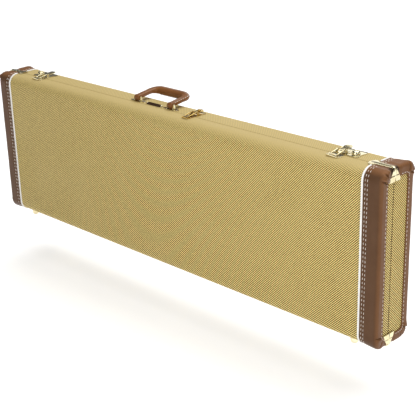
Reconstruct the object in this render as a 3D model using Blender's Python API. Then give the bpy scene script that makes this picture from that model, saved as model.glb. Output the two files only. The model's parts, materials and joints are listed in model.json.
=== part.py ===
"""A long hard-shell guitar case that stands on its bottom edge.

Metres, +Z up. X runs along the case, the lid faces -Y, and the handle is on top.
Shapes are drawn in the case's own frame: the seam-side measures start at the middle
of the case in X and Y and at its bottom face in Z. An empty then stands the whole
case on its feet, with the world origin under the middle of its bounding box.
"""

import math

import bmesh
import bpy
from mathutils import Matrix, Vector

# Overall size of the body, over the vinyl.
LENGTH = 1.225
DEPTH = 0.1065
HEIGHT = 0.377
EDGE_RADIUS = 0.0246  # the four long edges
END_RADIUS = 0.0055  # the edges round each end face
SEAM_Y = -0.011  # the lid is in front of it, the base behind it
SEAM_GAP = 0.0004
CLEAR = 0.0003  # between pieces that touch

# Layers, as distances inwards from the vinyl's outer face.
VINYL = 0.0009
SHELL_IN = VINYL + CLEAR
WALL = 0.0070
CAVITY_IN = SHELL_IN + WALL
VALANCE_THICK = 0.0010
VALANCE_IN = CAVITY_IN + CLEAR
LINING_IN = VALANCE_IN + VALANCE_THICK + CLEAR
LINING_THICK = 0.0060
INNER = LINING_IN + LINING_THICK

# Vinyl ends and the piping at their inner edge.
PIPING_X = LENGTH / 2 - 0.0442
PIPING_HALF = 0.0023
PIPING_PROUD = 0.0014
COVER_START = PIPING_X + PIPING_HALF + CLEAR
WINDOW_Y = (-0.0310, 0.0335)
WINDOW_Z = (0.0205, 0.3570)
WINDOW_RADIUS = 0.0090

# Valance: the tongue inside the base's rim.
TONGUE_FRONT = SEAM_Y - 0.0060
TONGUE_BACK = SEAM_Y + 0.0080

# Brass corner guards on the seam.
GUARD_START = 0.5560
GUARD_DROP = 0.0260
GUARD_THICK = 0.0011
GUARD_LOBE = 0.0140
GUARD_WAIST = 0.0072
GUARD_RIDGE = 0.0026
GUARD_RIDGE_PROUD = 0.0010
# (distance along it, half width), on the top or bottom and then down or up the end.
GUARD_FLAT = (
    (0.0, 0.0050),
    (0.0030, 0.0110),
    (0.0100, GUARD_LOBE),
    (0.0140, 0.0090),
    (0.0180, GUARD_WAIST),
)
GUARD_END = (
    (0.0090, 0.0080),
    (0.0120, GUARD_LOBE),
    (0.0180, GUARD_LOBE),
    (0.0220, 0.0100),
    (GUARD_DROP, 0.0050),
)
GUARD_BENDS = 3
PIPING_STOP = GUARD_LOBE + 0.0012  # the piping's ends, from the seam

# Bottom hinges.
HINGE_XS = (-0.430, 0.0, 0.430)
HINGE_LENGTH = 0.0500
HINGE_LEAF = 0.0190
HINGE_THICK = 0.0012
BARREL_RADIUS = 0.0026
PIN_RADIUS = 0.0011
PIN_CLEAR = 0.0001
LEAF_TOP = SHELL_IN - CLEAR
HINGE_AXIS = Vector((0.0, SEAM_Y, LEAF_TOP - BARREL_RADIUS))

# Feet.
FOOT_XS = (-0.5340, 0.5460)
FOOT_YS = {"lid": -0.0330, "base": 0.0330}
FOOT_DROP = 0.0078
FOOT_PROFILE = (
    (0.0045, -FOOT_DROP),
    (0.0068, -0.0066),
    (0.0082, -0.0040),
    (0.0088, -0.0010),
    (0.0088, 0.0080),
)

# Handle, its brackets and the strip between them.
TOP = HEIGHT - SHELL_IN  # top of the tweed
HANDLE_X = -0.0630
BRACKET_HALF_SPACING = 0.0558
BRACKET_HALF = (0.0250, 0.0075)
PLATE_THICK = 0.0012
EAR_INNER = 0.0088
EAR_THICK = 0.0012
EAR_PROFILE = ((-0.0042, 0.0006), (0.0042, 0.0006), (0.0034, 0.0090), (0.0018, 0.0130))
LOOP_RADIUS = 0.0017
HANDLE_AXIS = Vector((HANDLE_X, -0.0023, TOP + 0.0092))
HANDLE_LEAN = math.radians(7.5)
HANDLE_REACH = 0.0580
HANDLE_CORNER = 0.0205
LEG_HALF = (0.0079, 0.0055)
GRIP_HALF = (0.0113, 0.0102)
HEEL_RADIUS = 0.0070
STRIP_X = (-0.0860, -0.0400)
STRIP_Y = (-0.0068, 0.0030)
STRIP_THICK = 0.0022

# Latches. In each table plate is its reach from the lever's middle to the case's middle and
# to its end, lever and catch are half widths, and the backs are places along Y.
LATCHES = {"latch_left": -0.4790, "latch_right": 0.4790}
LATCH = dict(plate=(0.0165, 0.0440), plate_back=0.0290, lever=0.0080, lever_back=0.0275, catch=0.0185)
LOCK_X = 0.0690
LOCK = dict(plate=(0.0135, 0.0135), plate_back=0.0230, lever=0.0065, lever_back=0.0220, catch=0.0125)
PLATE_FRONT = SEAM_Y + 0.0015
PLATE_ROUND = 0.0060
PLATE_NOTCH = 0.0030
LATCH_EAR_GAP = 0.0032  # from the lever's side to the ear
LATCH_EAR_Y = (-0.0035, 0.0040)  # about the lever's axis
LATCH_EAR_TOP = 0.0026
LEVER_AXIS_Y = -0.0020
LEVER_AXIS_Z = TOP + 0.0052
LEVER_PIN = 0.0012
LEVER_PIN_HOLE = 0.0014
LEVER_THICK = 0.0016
LEVER_RISE = math.radians(5.0)
LEVER_LIFT = 0.0006  # its middle plane over its axis
LEVER_NARROW = -0.0022
LEVER_WIDE = 0.0012
HOOK_PIN_Y = LEVER_AXIS_Y + 0.0055
HOOK_BOSS = 0.0021
HOOK_FRONT = -0.0290
HOOK_WIRE = 0.0010
HOOK_SIDE = 0.0011
HOOK_NOSE = (0.0024, 0.0046)  # over the tweed
CATCH_Y = (-0.0345, -0.0125)
CATCH_LIP = 0.7  # of the catch's width
CATCH_PROFILE = (
    (0.0055, 0.0),
    (0.0055, 0.0011),
    (0.0028, 0.0025),
    (0.0022, 0.0045),
    (0.0006, 0.0045),
    (0.0, 0.0022),
    (0.0008, 0.0),
)
DRUM_OUT = 0.0295  # the spring drum on the outer end of each latch's plate
DRUM_Y = 0.0070
DRUM_PROFILE = ((0.0085, 0.0006), (0.0085, 0.0058), (0.0076, 0.0078), (0.0054, 0.0090), (0.0025, 0.0095))
CYLINDER_RADIUS = 0.0042
CYLINDER_HEIGHT = 0.0026
CYLINDER_Y = 0.0125
KEYWAY = (0.0006, 0.0022, 0.0020)  # half width, half length, depth

# Inside.
BOX_X = (0.1500, 0.4300)
BOX_TOP = INNER + 0.0700
BOX_RIM = -0.0020
BOX_WALL = 0.0040
DOOR_THICK = 0.0030
DOOR_TOP = BOX_TOP - 0.0005
DOOR_AXIS = Vector((0.0, BOX_RIM - CLEAR - DOOR_THICK / 2, DOOR_TOP))
PAD_X = (-0.3300, -0.1700)
PAD_REACH = 0.0480
PAD_FRONT = -0.0080
REST_X = (0.0600, 0.1000)
REST_Z = (0.1300, 0.2550)
NECK_Z = (0.1600, 0.2250)
NECK_DEEP = 0.0180

ARC_STEPS = 6
END_STEPS = 3
ROUND_STEPS = 16

COLOURS = {
    "tweed": ((0.52, 0.40, 0.17), 0.85, 0.0),
    "vinyl": ((0.17, 0.085, 0.045), 0.45, 0.0),
    "piping": ((0.85, 0.83, 0.78), 0.40, 0.0),
    "brass": ((0.80, 0.68, 0.38), 0.22, 1.0),
    "steel": ((0.55, 0.55, 0.55), 0.30, 1.0),
    "leather": ((0.20, 0.08, 0.03), 0.35, 0.0),
    "plush": ((0.10, 0.045, 0.03), 0.95, 0.0),
}

bodies = {
    "case": Vector((0.0, 0.0, 0.0)),
    "lid": HINGE_AXIS,
    "handle": HANDLE_AXIS,
    "accessory": DOOR_AXIS,
}


def clear_scene():
    for obj in list(bpy.data.objects):
        bpy.data.objects.remove(obj, do_unlink=True)


def make_material(name):
    colour, roughness, metallic = COLOURS[name]
    material = bpy.data.materials.new(name)
    material.use_nodes = True
    shader = material.node_tree.nodes["Principled BSDF"]
    shader.inputs["Base Color"].default_value = (*colour, 1.0)
    shader.inputs["Roughness"].default_value = roughness
    shader.inputs["Metallic"].default_value = metallic
    return material


def add_object(name, points, faces, material, body="case"):
    """A piece drawn in the case's frame, with its origin on its body's joint axis."""
    pivot = bodies[body]
    mesh = bpy.data.meshes.new(name)
    mesh.from_pydata([Vector(point) - pivot for point in points], [], faces)
    shape = bmesh.new()
    shape.from_mesh(mesh)
    bmesh.ops.recalc_face_normals(shape, faces=shape.faces)
    shape.to_mesh(mesh)
    shape.free()
    mesh.shade_smooth()
    mesh.set_sharp_from_angle(angle=math.radians(35))
    mesh.materials.append(materials[material])
    obj = bpy.data.objects.new(name, mesh)
    obj.location = pivot
    obj.parent = stand
    bpy.context.scene.collection.objects.link(obj)
    return obj


def add_helper(name, points, faces, body="case"):
    """A solid that cuts or joins another and isn't a piece itself."""
    obj = add_object(name, points, faces, "steel", body)
    obj.hide_render = True
    obj.display_type = "WIRE"
    return obj


def combine(obj, helper, operation="DIFFERENCE"):
    modifier = obj.modifiers.new(helper.name, "BOOLEAN")
    modifier.object = helper
    modifier.operation = operation


def loft(rings):
    """Points and faces of a closed solid through rings of the same number of points."""
    count = len(rings[0])
    points = [point for ring in rings for point in ring]
    faces = [tuple(range(count)), tuple(range(len(points) - count, len(points)))]
    for row in range(len(rings) - 1):
        for column in range(count):
            after = (column + 1) % count
            low = row * count
            high = low + count
            faces.append((low + column, low + after, high + after, high + column))
    return points, faces


def block(low, high):
    corners = [(low[0], low[1]), (high[0], low[1]), (high[0], high[1]), (low[0], high[1])]
    return loft([[(x, y, z) for x, y in corners] for z in (low[2], high[2])])


def circle(radius, steps=ROUND_STEPS):
    angles = [math.tau * step / steps for step in range(steps)]
    return [(radius * math.cos(angle), radius * math.sin(angle)) for angle in angles]


def rod_x(centre_y, centre_z, radius, start, end, steps=ROUND_STEPS):
    ring = circle(radius, steps)
    return loft([[(x, centre_y + y, centre_z + z) for y, z in ring] for x in (start, end)])


def arc(centre, radius, start, end, steps=ARC_STEPS):
    """Points of a circular arc, angles in degrees."""
    found = []
    for step in range(steps + 1):
        angle = math.radians(start + (end - start) * step / steps)
        found.append((centre[0] + radius * math.cos(angle), centre[1] + radius * math.sin(angle)))
    return found


def half_outline(side, inset, trim):
    """The open (y, z) path of one half's wall, from its top edge round to its bottom edge.

    inset is measured inwards from the vinyl, and trim is the path's distance from the seam.
    """
    facing = 1 if side == "base" else -1
    radius = EDGE_RADIUS - inset
    reach = DEPTH / 2 - EDGE_RADIUS
    top = arc((reach, HEIGHT - EDGE_RADIUS), radius, 90, 0)
    bottom = arc((reach, EDGE_RADIUS), radius, 0, -90)
    start = [(facing * SEAM_Y + trim, HEIGHT - inset)]
    end = [(facing * SEAM_Y + trim, inset)]
    return [(facing * y, z) for y, z in start + top + bottom + end]


def half_solid(side, inset, trim, x_range=None, round_ends=True):
    """One half of the body as a solid block, with its end edges rounded over."""
    low, high = x_range or (-LENGTH / 2 + inset, LENGTH / 2 - inset)
    radius = END_RADIUS - inset if round_ends else 0
    steps = [math.radians(90 * step / END_STEPS) for step in range(END_STEPS + 1)]
    ends = [(radius * (1 - math.sin(a)), radius * (1 - math.cos(a))) for a in reversed(steps)]
    if radius <= 0:
        ends = [(0.0, 0.0)]
    rings = [(low + along, inset + into) for along, into in ends]
    rings += [(high - along, inset + into) for along, into in reversed(ends)]
    return loft([[(x, y, z) for y, z in half_outline(side, depth, trim)] for x, depth in rings])


def make_tray(side, name, material, inset, thickness, trim, round_ends):
    """A half of the body hollowed from its seam side."""
    body = "lid" if side == "lid" else "case"
    tray = add_object(name, *half_solid(side, inset, trim, round_ends=round_ends), material, body)
    hollow = half_solid(side, inset + thickness, trim - 0.02, round_ends=False)
    combine(tray, add_helper(name + "_hollow", *hollow, body))
    return tray


def make_end_cover(side, end):
    """Vinyl wrapped round one end of one half, with a window on the end face."""
    body = "lid" if side == "lid" else "case"
    sign = 1 if end == "right" else -1
    name = f"{side}_end_cover_{end}"
    wide = half_solid(side, 0.0, SEAM_GAP / 2)
    cover = add_object(name, *wide, "vinyl", body)
    combine(cover, add_helper(name + "_inside", *half_solid(side, VINYL, -0.02), body))
    far = -sign * LENGTH
    near = sign * COVER_START
    keep = block((min(far, near), -DEPTH, -0.1), (max(far, near), DEPTH, HEIGHT + 0.1))
    combine(cover, add_helper(name + "_trim", *keep, body))
    outline = []
    corners = (
        ((WINDOW_Y[1], WINDOW_Z[1]), (-1, -1), 0),
        ((WINDOW_Y[0], WINDOW_Z[1]), (1, -1), 90),
        ((WINDOW_Y[0], WINDOW_Z[0]), (1, 1), 180),
        ((WINDOW_Y[1], WINDOW_Z[0]), (-1, 1), 270),
    )
    for (y, z), (dy, dz), start in corners:
        centre = (y + dy * WINDOW_RADIUS, z + dz * WINDOW_RADIUS)
        outline += arc(centre, WINDOW_RADIUS, start, start + 90, 4)
    xs = (sign * (LENGTH / 2 - 0.01), sign * (LENGTH / 2 + 0.01))
    window = loft([[(x, y, z) for y, z in outline] for x in xs])
    combine(cover, add_helper(name + "_window", *window, body))


def make_piping(side, end):
    """A half-round bead over the tweed, from the top corner guard to the bottom one."""
    body = "lid" if side == "lid" else "case"
    sign = 1 if end == "right" else -1
    section = [(-PIPING_HALF, SHELL_IN - CLEAR)]
    section += [(-x, -z) for x, z in arc((0, 0), 1.0, 0, 180, 6)]
    rows = []
    for x, depth in [section[0]] + [(x * PIPING_HALF, z * PIPING_PROUD) for x, z in section[1:]]:
        rows.append((sign * (PIPING_X + x), depth))
    rows.append((sign * (PIPING_X + PIPING_HALF), SHELL_IN - CLEAR))
    paths = [half_outline(side, depth, PIPING_STOP) for _, depth in rows]
    stations = []
    for station in range(len(paths[0])):
        stations.append([(x, *path[station]) for (x, _), path in zip(rows, paths)])
    add_object(f"{side}_piping_{end}", *loft(stations), "piping", body)


def make_valance():
    """The metal tongue: a thin frame inside the base's rim, standing into the lid."""
    outer = LENGTH / 2 - VALANCE_IN
    edge = VALANCE_IN + VALANCE_THICK
    inner = LENGTH / 2 - edge
    frame = block((-outer, TONGUE_FRONT, VALANCE_IN), (outer, TONGUE_BACK, HEIGHT - VALANCE_IN))
    hollow = block((-inner, -DEPTH, edge), (inner, DEPTH, HEIGHT - edge))
    valance = add_object("base_valance", *frame, "steel")
    combine(valance, add_helper("base_valance_inside", *hollow))


def guard_stations(top):
    """Places along a corner guard: (x, z, outward x, outward z, half width)."""
    flat_end = LENGTH / 2 - END_RADIUS
    found = [(GUARD_START + along, 0.0, 0.0, 1.0, width) for along, width in GUARD_FLAT]
    found.append((flat_end, 0.0, 0.0, 1.0, GUARD_WAIST))
    for step in range(1, GUARD_BENDS + 1):
        angle = math.radians(90 - 90 * step / GUARD_BENDS)
        x = flat_end + END_RADIUS * math.cos(angle)
        drop = END_RADIUS * (1 - math.sin(angle))
        found.append((x, drop, math.cos(angle), math.sin(angle), GUARD_WAIST))
    found += [(LENGTH / 2, drop, 1.0, 0.0, width) for drop, width in GUARD_END]
    flip = 1 if top else -1
    edge = HEIGHT if top else 0.0
    return [(x, edge - flip * d, nx, flip * nz, width) for x, d, nx, nz, width in found]


def make_corner_guard(side, end, level):
    """A brass strip bent over the corner beside the seam, with a ridge along the seam.

    There is no ridge underneath, where it would meet its other half as the lid opens.
    """
    body = "lid" if side == "lid" else "case"
    sign = 1 if end == "right" else -1
    facing = 1 if side == "base" else -1
    rings = []
    for x, z, nx, nz, width in guard_stations(level == "top"):
        high = CLEAR + GUARD_THICK
        ridge = high + GUARD_RIDGE_PROUD * min(1.0, 1.0 + nz)
        start = SEAM_GAP / 2
        section = [(start, CLEAR), (width, CLEAR), (width, high), (GUARD_RIDGE + 0.001, high)]
        section += [(GUARD_RIDGE, ridge), (start, ridge)]
        ring = []
        for across, lift in section:
            y = SEAM_Y + facing * across
            ring.append((sign * (x + nx * lift), y, z + nz * lift))
        rings.append(ring)
    add_object(f"{side}_corner_guard_{level}_{end}", *loft(rings), "brass", body)


def make_hinge(number, x):
    """Two leaves under the bottom seam with interleaved knuckles, and the pin."""
    half = HINGE_LENGTH / 2
    third = HINGE_LENGTH / 6
    axis_y, axis_z = HINGE_AXIS.y, HINGE_AXIS.z
    for side, body, facing in (("base", "case", 1), ("lid", "lid", -1)):
        name = f"hinge_{number}_{side}_leaf"
        edges = sorted((SEAM_Y + facing * 0.0008, SEAM_Y + facing * HINGE_LEAF))
        plate = block((x - half, edges[0], LEAF_TOP - HINGE_THICK), (x + half, edges[1], LEAF_TOP))
        leaf = add_object(name, *plate, "brass", body)
        barrel = rod_x(axis_y, axis_z, BARREL_RADIUS, x - half, x + half)
        combine(leaf, add_helper(name + "_barrel", *barrel, body), "UNION")
        other = BARREL_RADIUS + CLEAR
        spans = [(-third, third)] if side == "base" else [(-1.2 * half, -third), (third, 1.2 * half)]
        for index, (start, end) in enumerate(spans):
            low = (x + start - CLEAR / 2, axis_y - other, axis_z - other)
            high = (x + end + CLEAR / 2, axis_y + other, axis_z + other)
            notch = add_helper(f"{name}_notch_{index}", *block(low, high), body)
            combine(leaf, notch)
        bore = rod_x(axis_y, axis_z, PIN_RADIUS + PIN_CLEAR, x - half - 0.01, x + half + 0.01)
        combine(leaf, add_helper(name + "_bore", *bore, body))
    pin = rod_x(axis_y, axis_z, PIN_RADIUS, x - half - 0.0008, x + half + 0.0008)
    add_object(f"hinge_{number}_pin", *pin, "brass")


def make_foot(side, end, x):
    """A domed glide, cut to the shell where it sits on the rounded edge."""
    body = "lid" if side == "lid" else "case"
    y = FOOT_YS[side]
    rings = [[(x + a, y + b, z) for a, b in circle(radius)] for radius, z in FOOT_PROFILE]
    foot = add_object(f"foot_{side}_{end}", *loft(rings), "brass", body)
    seat = half_solid(side, SHELL_IN - CLEAR, -0.03, (-LENGTH, LENGTH), False)
    combine(foot, add_helper(f"foot_{side}_{end}_seat", *seat, body))


def make_bracket(end, x):
    """A riveted plate with two ears and a bar that the handle's leather end turns on."""
    name = f"handle_bracket_{end}"
    low_z = TOP + CLEAR
    axis_y, axis_z = HANDLE_AXIS.y, HANDLE_AXIS.z
    outline = [(x + a * BRACKET_HALF[0], axis_y + b * BRACKET_HALF[1]) for a, b in circle(1.0, 20)]
    plate = loft([[(a, b, z) for a, b in outline] for z in (low_z, low_z + PLATE_THICK)])
    bracket = add_object(name, *plate, "brass")
    profile = [*EAR_PROFILE, *[(-y, z) for y, z in reversed(EAR_PROFILE[2:])]]
    for index, sign in enumerate((-1, 1)):
        xs = (x + sign * EAR_INNER, x + sign * (EAR_INNER + EAR_THICK))
        ear = loft([[(a, axis_y + y, low_z + z) for y, z in profile] for a in xs])
        combine(bracket, add_helper(f"{name}_ear_{index}", *ear), "UNION")
    bar_end = EAR_INNER + EAR_THICK / 2
    bar = rod_x(axis_y, axis_z, LOOP_RADIUS, x - bar_end, x + bar_end, 10)
    combine(bracket, add_helper(name + "_bar", *bar), "UNION")


def handle_path():
    """(x, reach, bulk) along the handle from one end to the other.

    bulk goes from 0 in the flat legs to 1 in the thick grip.
    """
    half = BRACKET_HALF_SPACING
    turn = HANDLE_REACH - HANDLE_CORNER
    places = [(half, 0.0, 0.0), (half, turn * 0.5, 0.0), (half, turn, 0.1)]
    for step in range(1, 5):
        angle = math.radians(90 * step / 4)
        x = half - HANDLE_CORNER * (1 - math.cos(angle))
        places.append((x, turn + HANDLE_CORNER * math.sin(angle), 0.1 + 0.65 * step / 4))
    places += [((half - HANDLE_CORNER) * 0.6, HANDLE_REACH + 0.0005, 1.0)]
    left = [(-x, reach, bulk) for x, reach, bulk in places]
    return left + [(0.0, HANDLE_REACH + 0.0005, 1.0)] + list(reversed(places))


def make_handle():
    """Leather grip: a thick middle that narrows into two flat legs looped on the brackets."""
    path = handle_path()
    lean = Matrix.Rotation(HANDLE_LEAN, 3, "X")
    rings = []
    for index, (x, reach, bulk) in enumerate(path):
        before = path[max(index - 1, 0)]
        after = path[min(index + 1, len(path) - 1)]
        along = Vector((after[0] - before[0], after[1] - before[1], 0)).normalized()
        across = Vector((along.y, -along.x, 0))
        wide = LEG_HALF[0] + (GRIP_HALF[0] - LEG_HALF[0]) * bulk
        thick = LEG_HALF[1] + (GRIP_HALF[1] - LEG_HALF[1]) * bulk
        lift = (HEEL_RADIUS - LEG_HALF[1]) * (1 - bulk)
        ring = []
        for a, b in circle(1.0, 12):
            square = 1.0 + 0.18 * (1 - bulk) * abs(math.sin(2 * math.atan2(b, a)))
            point = Vector((x, reach, lift + b * thick * square)) + across * (a * wide * square)
            ring.append(HANDLE_AXIS + lean @ point)
        rings.append(ring)
    handle = add_object("handle_grip", *loft(rings), "leather", "handle")
    for index, sign in enumerate((-1, 1)):
        x = HANDLE_X + sign * BRACKET_HALF_SPACING
        axis = (HANDLE_AXIS.y, HANDLE_AXIS.z)
        heel = rod_x(*axis, HEEL_RADIUS, x - LEG_HALF[0], x + LEG_HALF[0])
        combine(handle, add_helper(f"handle_heel_{index}", *heel, "handle"), "UNION")
    bore = rod_x(HANDLE_AXIS.y, HANDLE_AXIS.z, LOOP_RADIUS + CLEAR, -0.2, 0.1, 12)
    combine(handle, add_helper("handle_bore", *bore, "handle"))


def make_strip():
    low = (STRIP_X[0], STRIP_Y[0], TOP + CLEAR)
    high = (STRIP_X[1], STRIP_Y[1], TOP + CLEAR + STRIP_THICK)
    add_object("under_handle_strip", *block(low, high), "leather")


def lobed_plate(x_range, y_range, z, notch):
    """A plate with rounded corners and a waist in the middle of each end."""
    low, high = x_range
    front, back = y_range
    radius = min(PLATE_ROUND, (high - low) * 0.2)
    outline = arc((high - radius, back - radius), radius, 0, 90, 4)
    outline += arc((low + radius, back - radius), radius, 90, 180, 4)
    outline += [(low + notch, (front + back) / 2)]
    outline += arc((low + radius, front + radius), radius, 180, 270, 4)
    outline += arc((high - radius, front + radius), radius, 270, 360, 4)
    outline += [(high - notch, (front + back) / 2)]
    return loft([[(a, b, level) for a, b in outline] for level in (z, z + PLATE_THICK)])


def make_latch(name, x, size):
    """A draw latch: a plate with ears, a lever, a wire hook, and a catch on the lid."""
    bodies[name + "_lever"] = Vector((x, LEVER_AXIS_Y, LEVER_AXIS_Z))
    bodies[name + "_hook"] = Vector((x, HOOK_PIN_Y, LEVER_AXIS_Z + LEVER_LIFT))
    outward = 1 if x > 0 else -1
    ends = sorted((x - outward * size["plate"][0], x + outward * size["plate"][1]))
    floor = TOP + CLEAR
    plate_shape = lobed_plate(ends, (PLATE_FRONT, size["plate_back"]), floor, PLATE_NOTCH)
    plate = add_object(name + "_plate", *plate_shape, "brass")
    ear = size["lever"] + LATCH_EAR_GAP
    for index, sign in enumerate((-1, 1)):
        xs = sorted((x + sign * ear, x + sign * (ear + EAR_THICK)))
        low = (xs[0], LEVER_AXIS_Y + LATCH_EAR_Y[0], floor + PLATE_THICK / 2)
        high = (xs[1], LEVER_AXIS_Y + LATCH_EAR_Y[1], LEVER_AXIS_Z + LATCH_EAR_TOP)
        combine(plate, add_helper(f"{name}_ear_{index}", *block(low, high)), "UNION")
    reach = ear + 2 * EAR_THICK
    hole = rod_x(LEVER_AXIS_Y, LEVER_AXIS_Z, LEVER_PIN_HOLE, x - reach, x + reach, 12)
    combine(plate, add_helper(name + "_ear_hole", *hole))
    make_lever(name, x, size, ear)
    make_hook(name, x, size["lever"])
    make_catch(name, x, size["catch"])
    return plate


def make_drum(plate, x):
    """The round spring housing near the outer end of a latch's plate."""
    outward = 1 if x > 0 else -1
    centre = (x + outward * DRUM_OUT, DRUM_Y)
    rings = []
    for radius, lift in DRUM_PROFILE:
        z = TOP + CLEAR + lift
        rings.append([(centre[0] + a, centre[1] + b, z) for a, b in circle(radius)])
    combine(plate, add_helper(plate.name + "_drum", *loft(rings)), "UNION")


def lever_level(y):
    """Height of the lever's middle plane."""
    return LEVER_AXIS_Z + LEVER_LIFT + (y - LEVER_AXIS_Y) * math.tan(LEVER_RISE)


def make_lever(name, x, size, ear):
    body = name + "_lever"
    narrow = size["lever"] + LEVER_NARROW
    wide = size["lever"] + LEVER_WIDE
    back = size["lever_back"]
    stations = [(LEVER_AXIS_Y - 0.0012, narrow), (HOOK_PIN_Y + 0.0030, narrow)]
    stations += [(HOOK_PIN_Y + 0.0060, wide), (back - 0.0050, wide)]
    stations += [(back - 0.0015, wide * 0.8), (back, wide * 0.45)]
    rings = []
    for y, half in stations:
        low = lever_level(y) - LEVER_THICK / 2
        high = low + LEVER_THICK
        rings.append([(x - half, y, low), (x + half, y, low), (x + half, y, high), (x - half, y, high)])
    lever = add_object(body, *loft(rings), "brass", body)
    reach = ear + 1.5 * EAR_THICK
    pin = rod_x(LEVER_AXIS_Y, LEVER_AXIS_Z, LEVER_PIN, x - reach, x + reach, 12)
    combine(lever, add_helper(body + "_pin", *pin, body), "UNION")
    hook_axis = (HOOK_PIN_Y, LEVER_AXIS_Z + LEVER_LIFT)
    boss = rod_x(*hook_axis, HOOK_BOSS, x - narrow, x + narrow, 12)
    combine(lever, add_helper(body + "_boss", *boss, body), "UNION")
    hole = rod_x(*hook_axis, HOOK_WIRE + PIN_CLEAR, x - reach, x + reach, 10)
    combine(lever, add_helper(body + "_hook_hole", *hole, body))


def make_hook(name, x, side):
    """A bent wire: a pin through the lever, two sides, and a nose that bears on the catch."""
    body = name + "_hook"
    axis_z = LEVER_AXIS_Z + LEVER_LIFT
    over_pin = LEVER_AXIS_Z + LEVER_PIN + HOOK_SIDE + CLEAR
    path = [(HOOK_PIN_Y, axis_z), (LEVER_AXIS_Y + 0.0022, over_pin), (LEVER_AXIS_Y - 0.0022, over_pin)]
    path += [(SEAM_Y - 0.002, TOP + 0.0060), (HOOK_FRONT + 0.003, TOP + 0.0040)]
    path += [(HOOK_FRONT, TOP + 0.0034)]
    arms = []
    for sign in (-1, 1):
        rings = []
        for y, z in path:
            rings.append([(x + sign * side + a, y, z + b) for a, b in circle(HOOK_SIDE, 8)])
        arms.append(loft(rings))
    hook = add_object(body, *arms[0], "brass", body)
    combine(hook, add_helper(body + "_arm", *arms[1], body), "UNION")
    pin = rod_x(HOOK_PIN_Y, axis_z, HOOK_WIRE, x - side, x + side, 10)
    combine(hook, add_helper(body + "_pin", *pin, body), "UNION")
    low = (x - side - 0.001, HOOK_FRONT - 0.001, TOP + HOOK_NOSE[0])
    high = (x + side + 0.001, HOOK_FRONT + 0.006, TOP + HOOK_NOSE[1])
    combine(hook, add_helper(body + "_nose", *block(low, high), body), "UNION")


def make_catch(name, x, half):
    """A plate on the lid whose front edge curls up ahead of the hook's nose."""
    floor = TOP + CLEAR
    front = CATCH_Y[0]
    places = (front + 0.003, CATCH_Y[1])
    plate = lobed_plate((x - half, x + half), places, floor, PLATE_NOTCH)
    catch = add_object(name + "_catch", *plate, "brass", "lid")
    lip_half = half * CATCH_LIP
    lip = []
    for sign in (-1, 1):
        lip.append([(x + sign * lip_half, front + y, floor + z) for y, z in CATCH_PROFILE])
    combine(catch, add_helper(name + "_lip", *loft(lip), "lid"), "UNION")


def make_key_cylinder(name, x):
    """A round key barrel that turns in the lock's lever."""
    body = name + "_cylinder"
    tilt = Matrix.Rotation(LEVER_RISE, 3, "X")
    seat = Vector((x, CYLINDER_Y, lever_level(CYLINDER_Y) + LEVER_THICK / 2 + CLEAR))
    bodies[body] = seat
    rings = []
    chamfer = 0.0008
    profile = ((CYLINDER_RADIUS, 0.0), (CYLINDER_RADIUS, CYLINDER_HEIGHT - chamfer))
    for radius, height in (*profile, (CYLINDER_RADIUS - chamfer, CYLINDER_HEIGHT)):
        rings.append([seat + tilt @ Vector((a, b, height)) for a, b in circle(radius)])
    cylinder = add_object(body, *loft(rings), "brass", body)
    half_width, half_length, depth = KEYWAY
    key_low = (-half_width, -half_length, CYLINDER_HEIGHT - depth)
    points, faces = block(key_low, (half_width, half_length, 2 * CYLINDER_HEIGHT))
    slot = [seat + tilt @ Vector(point) for point in points]
    combine(cylinder, add_helper(body + "_keyway", slot, faces, body))


def fit_to_lining(piece):
    """Rounds a piece's outer edges to the base lining's inner corners."""
    inside = half_solid("base", INNER + CLEAR, -0.04, round_ends=False)
    combine(piece, add_helper(piece.name + "_fit", *inside), "INTERSECT")


def make_accessory_box():
    """A compartment against the base's back and bottom, open to the front, with a door."""
    back = DEPTH / 2 - INNER - CLEAR
    floor = INNER + CLEAR
    low = (BOX_X[0], BOX_RIM, floor)
    high = (BOX_X[1], back, BOX_TOP)
    box = add_object("accessory_box", *block(low, high), "plush")
    low = (BOX_X[0] + BOX_WALL, -DEPTH, floor + BOX_WALL)
    high = (BOX_X[1] - BOX_WALL, back - BOX_WALL, BOX_TOP - BOX_WALL)
    combine(box, add_helper("accessory_box_hollow", *block(low, high)))
    fit_to_lining(box)
    front = DOOR_AXIS.y - DOOR_THICK / 2
    door_low = (BOX_X[0] + 0.001, front, floor + 0.0015)
    door_high = (BOX_X[1] - 0.001, front + DOOR_THICK, DOOR_TOP)
    add_object("accessory_door", *block(door_low, door_high), "plush", "accessory")
    middle = sum(BOX_X) / 2
    tab_low = (middle - 0.010, front - CLEAR - 0.0015, floor + 0.004)
    tab_high = (middle + 0.010, front - CLEAR, floor + 0.032)
    add_object("accessory_pull_tab", *block(tab_low, tab_high), "leather", "accessory")


def make_supports():
    """Foam blocks that hold the instrument: two at its waist and a notched neck rest."""
    back = DEPTH / 2 - INNER - CLEAR
    for name, wall, inwards in (("upper", HEIGHT - INNER - CLEAR, -1), ("lower", INNER + CLEAR, 1)):
        tip = wall + inwards * PAD_REACH
        shoulder = wall + inwards * PAD_REACH * 0.8
        outline = [(PAD_X[0], wall), (PAD_X[0] + 0.035, shoulder), (PAD_X[0] + 0.055, tip)]
        outline += [(PAD_X[1] - 0.055, tip), (PAD_X[1] - 0.035, shoulder), (PAD_X[1], wall)]
        rings = [[(x, y, z) for x, z in outline] for y in (PAD_FRONT, back)]
        fit_to_lining(add_object(f"waist_pad_{name}", *loft(rings), "plush"))
    rest = block((REST_X[0], PAD_FRONT, REST_Z[0]), (REST_X[1], back, REST_Z[1]))
    neck_rest = add_object("neck_rest", *rest, "plush")
    channel = block((REST_X[0] - 0.01, -DEPTH, NECK_Z[0]), (REST_X[1] + 0.01, NECK_DEEP, NECK_Z[1]))
    combine(neck_rest, add_helper("neck_rest_channel", *channel))


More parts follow.
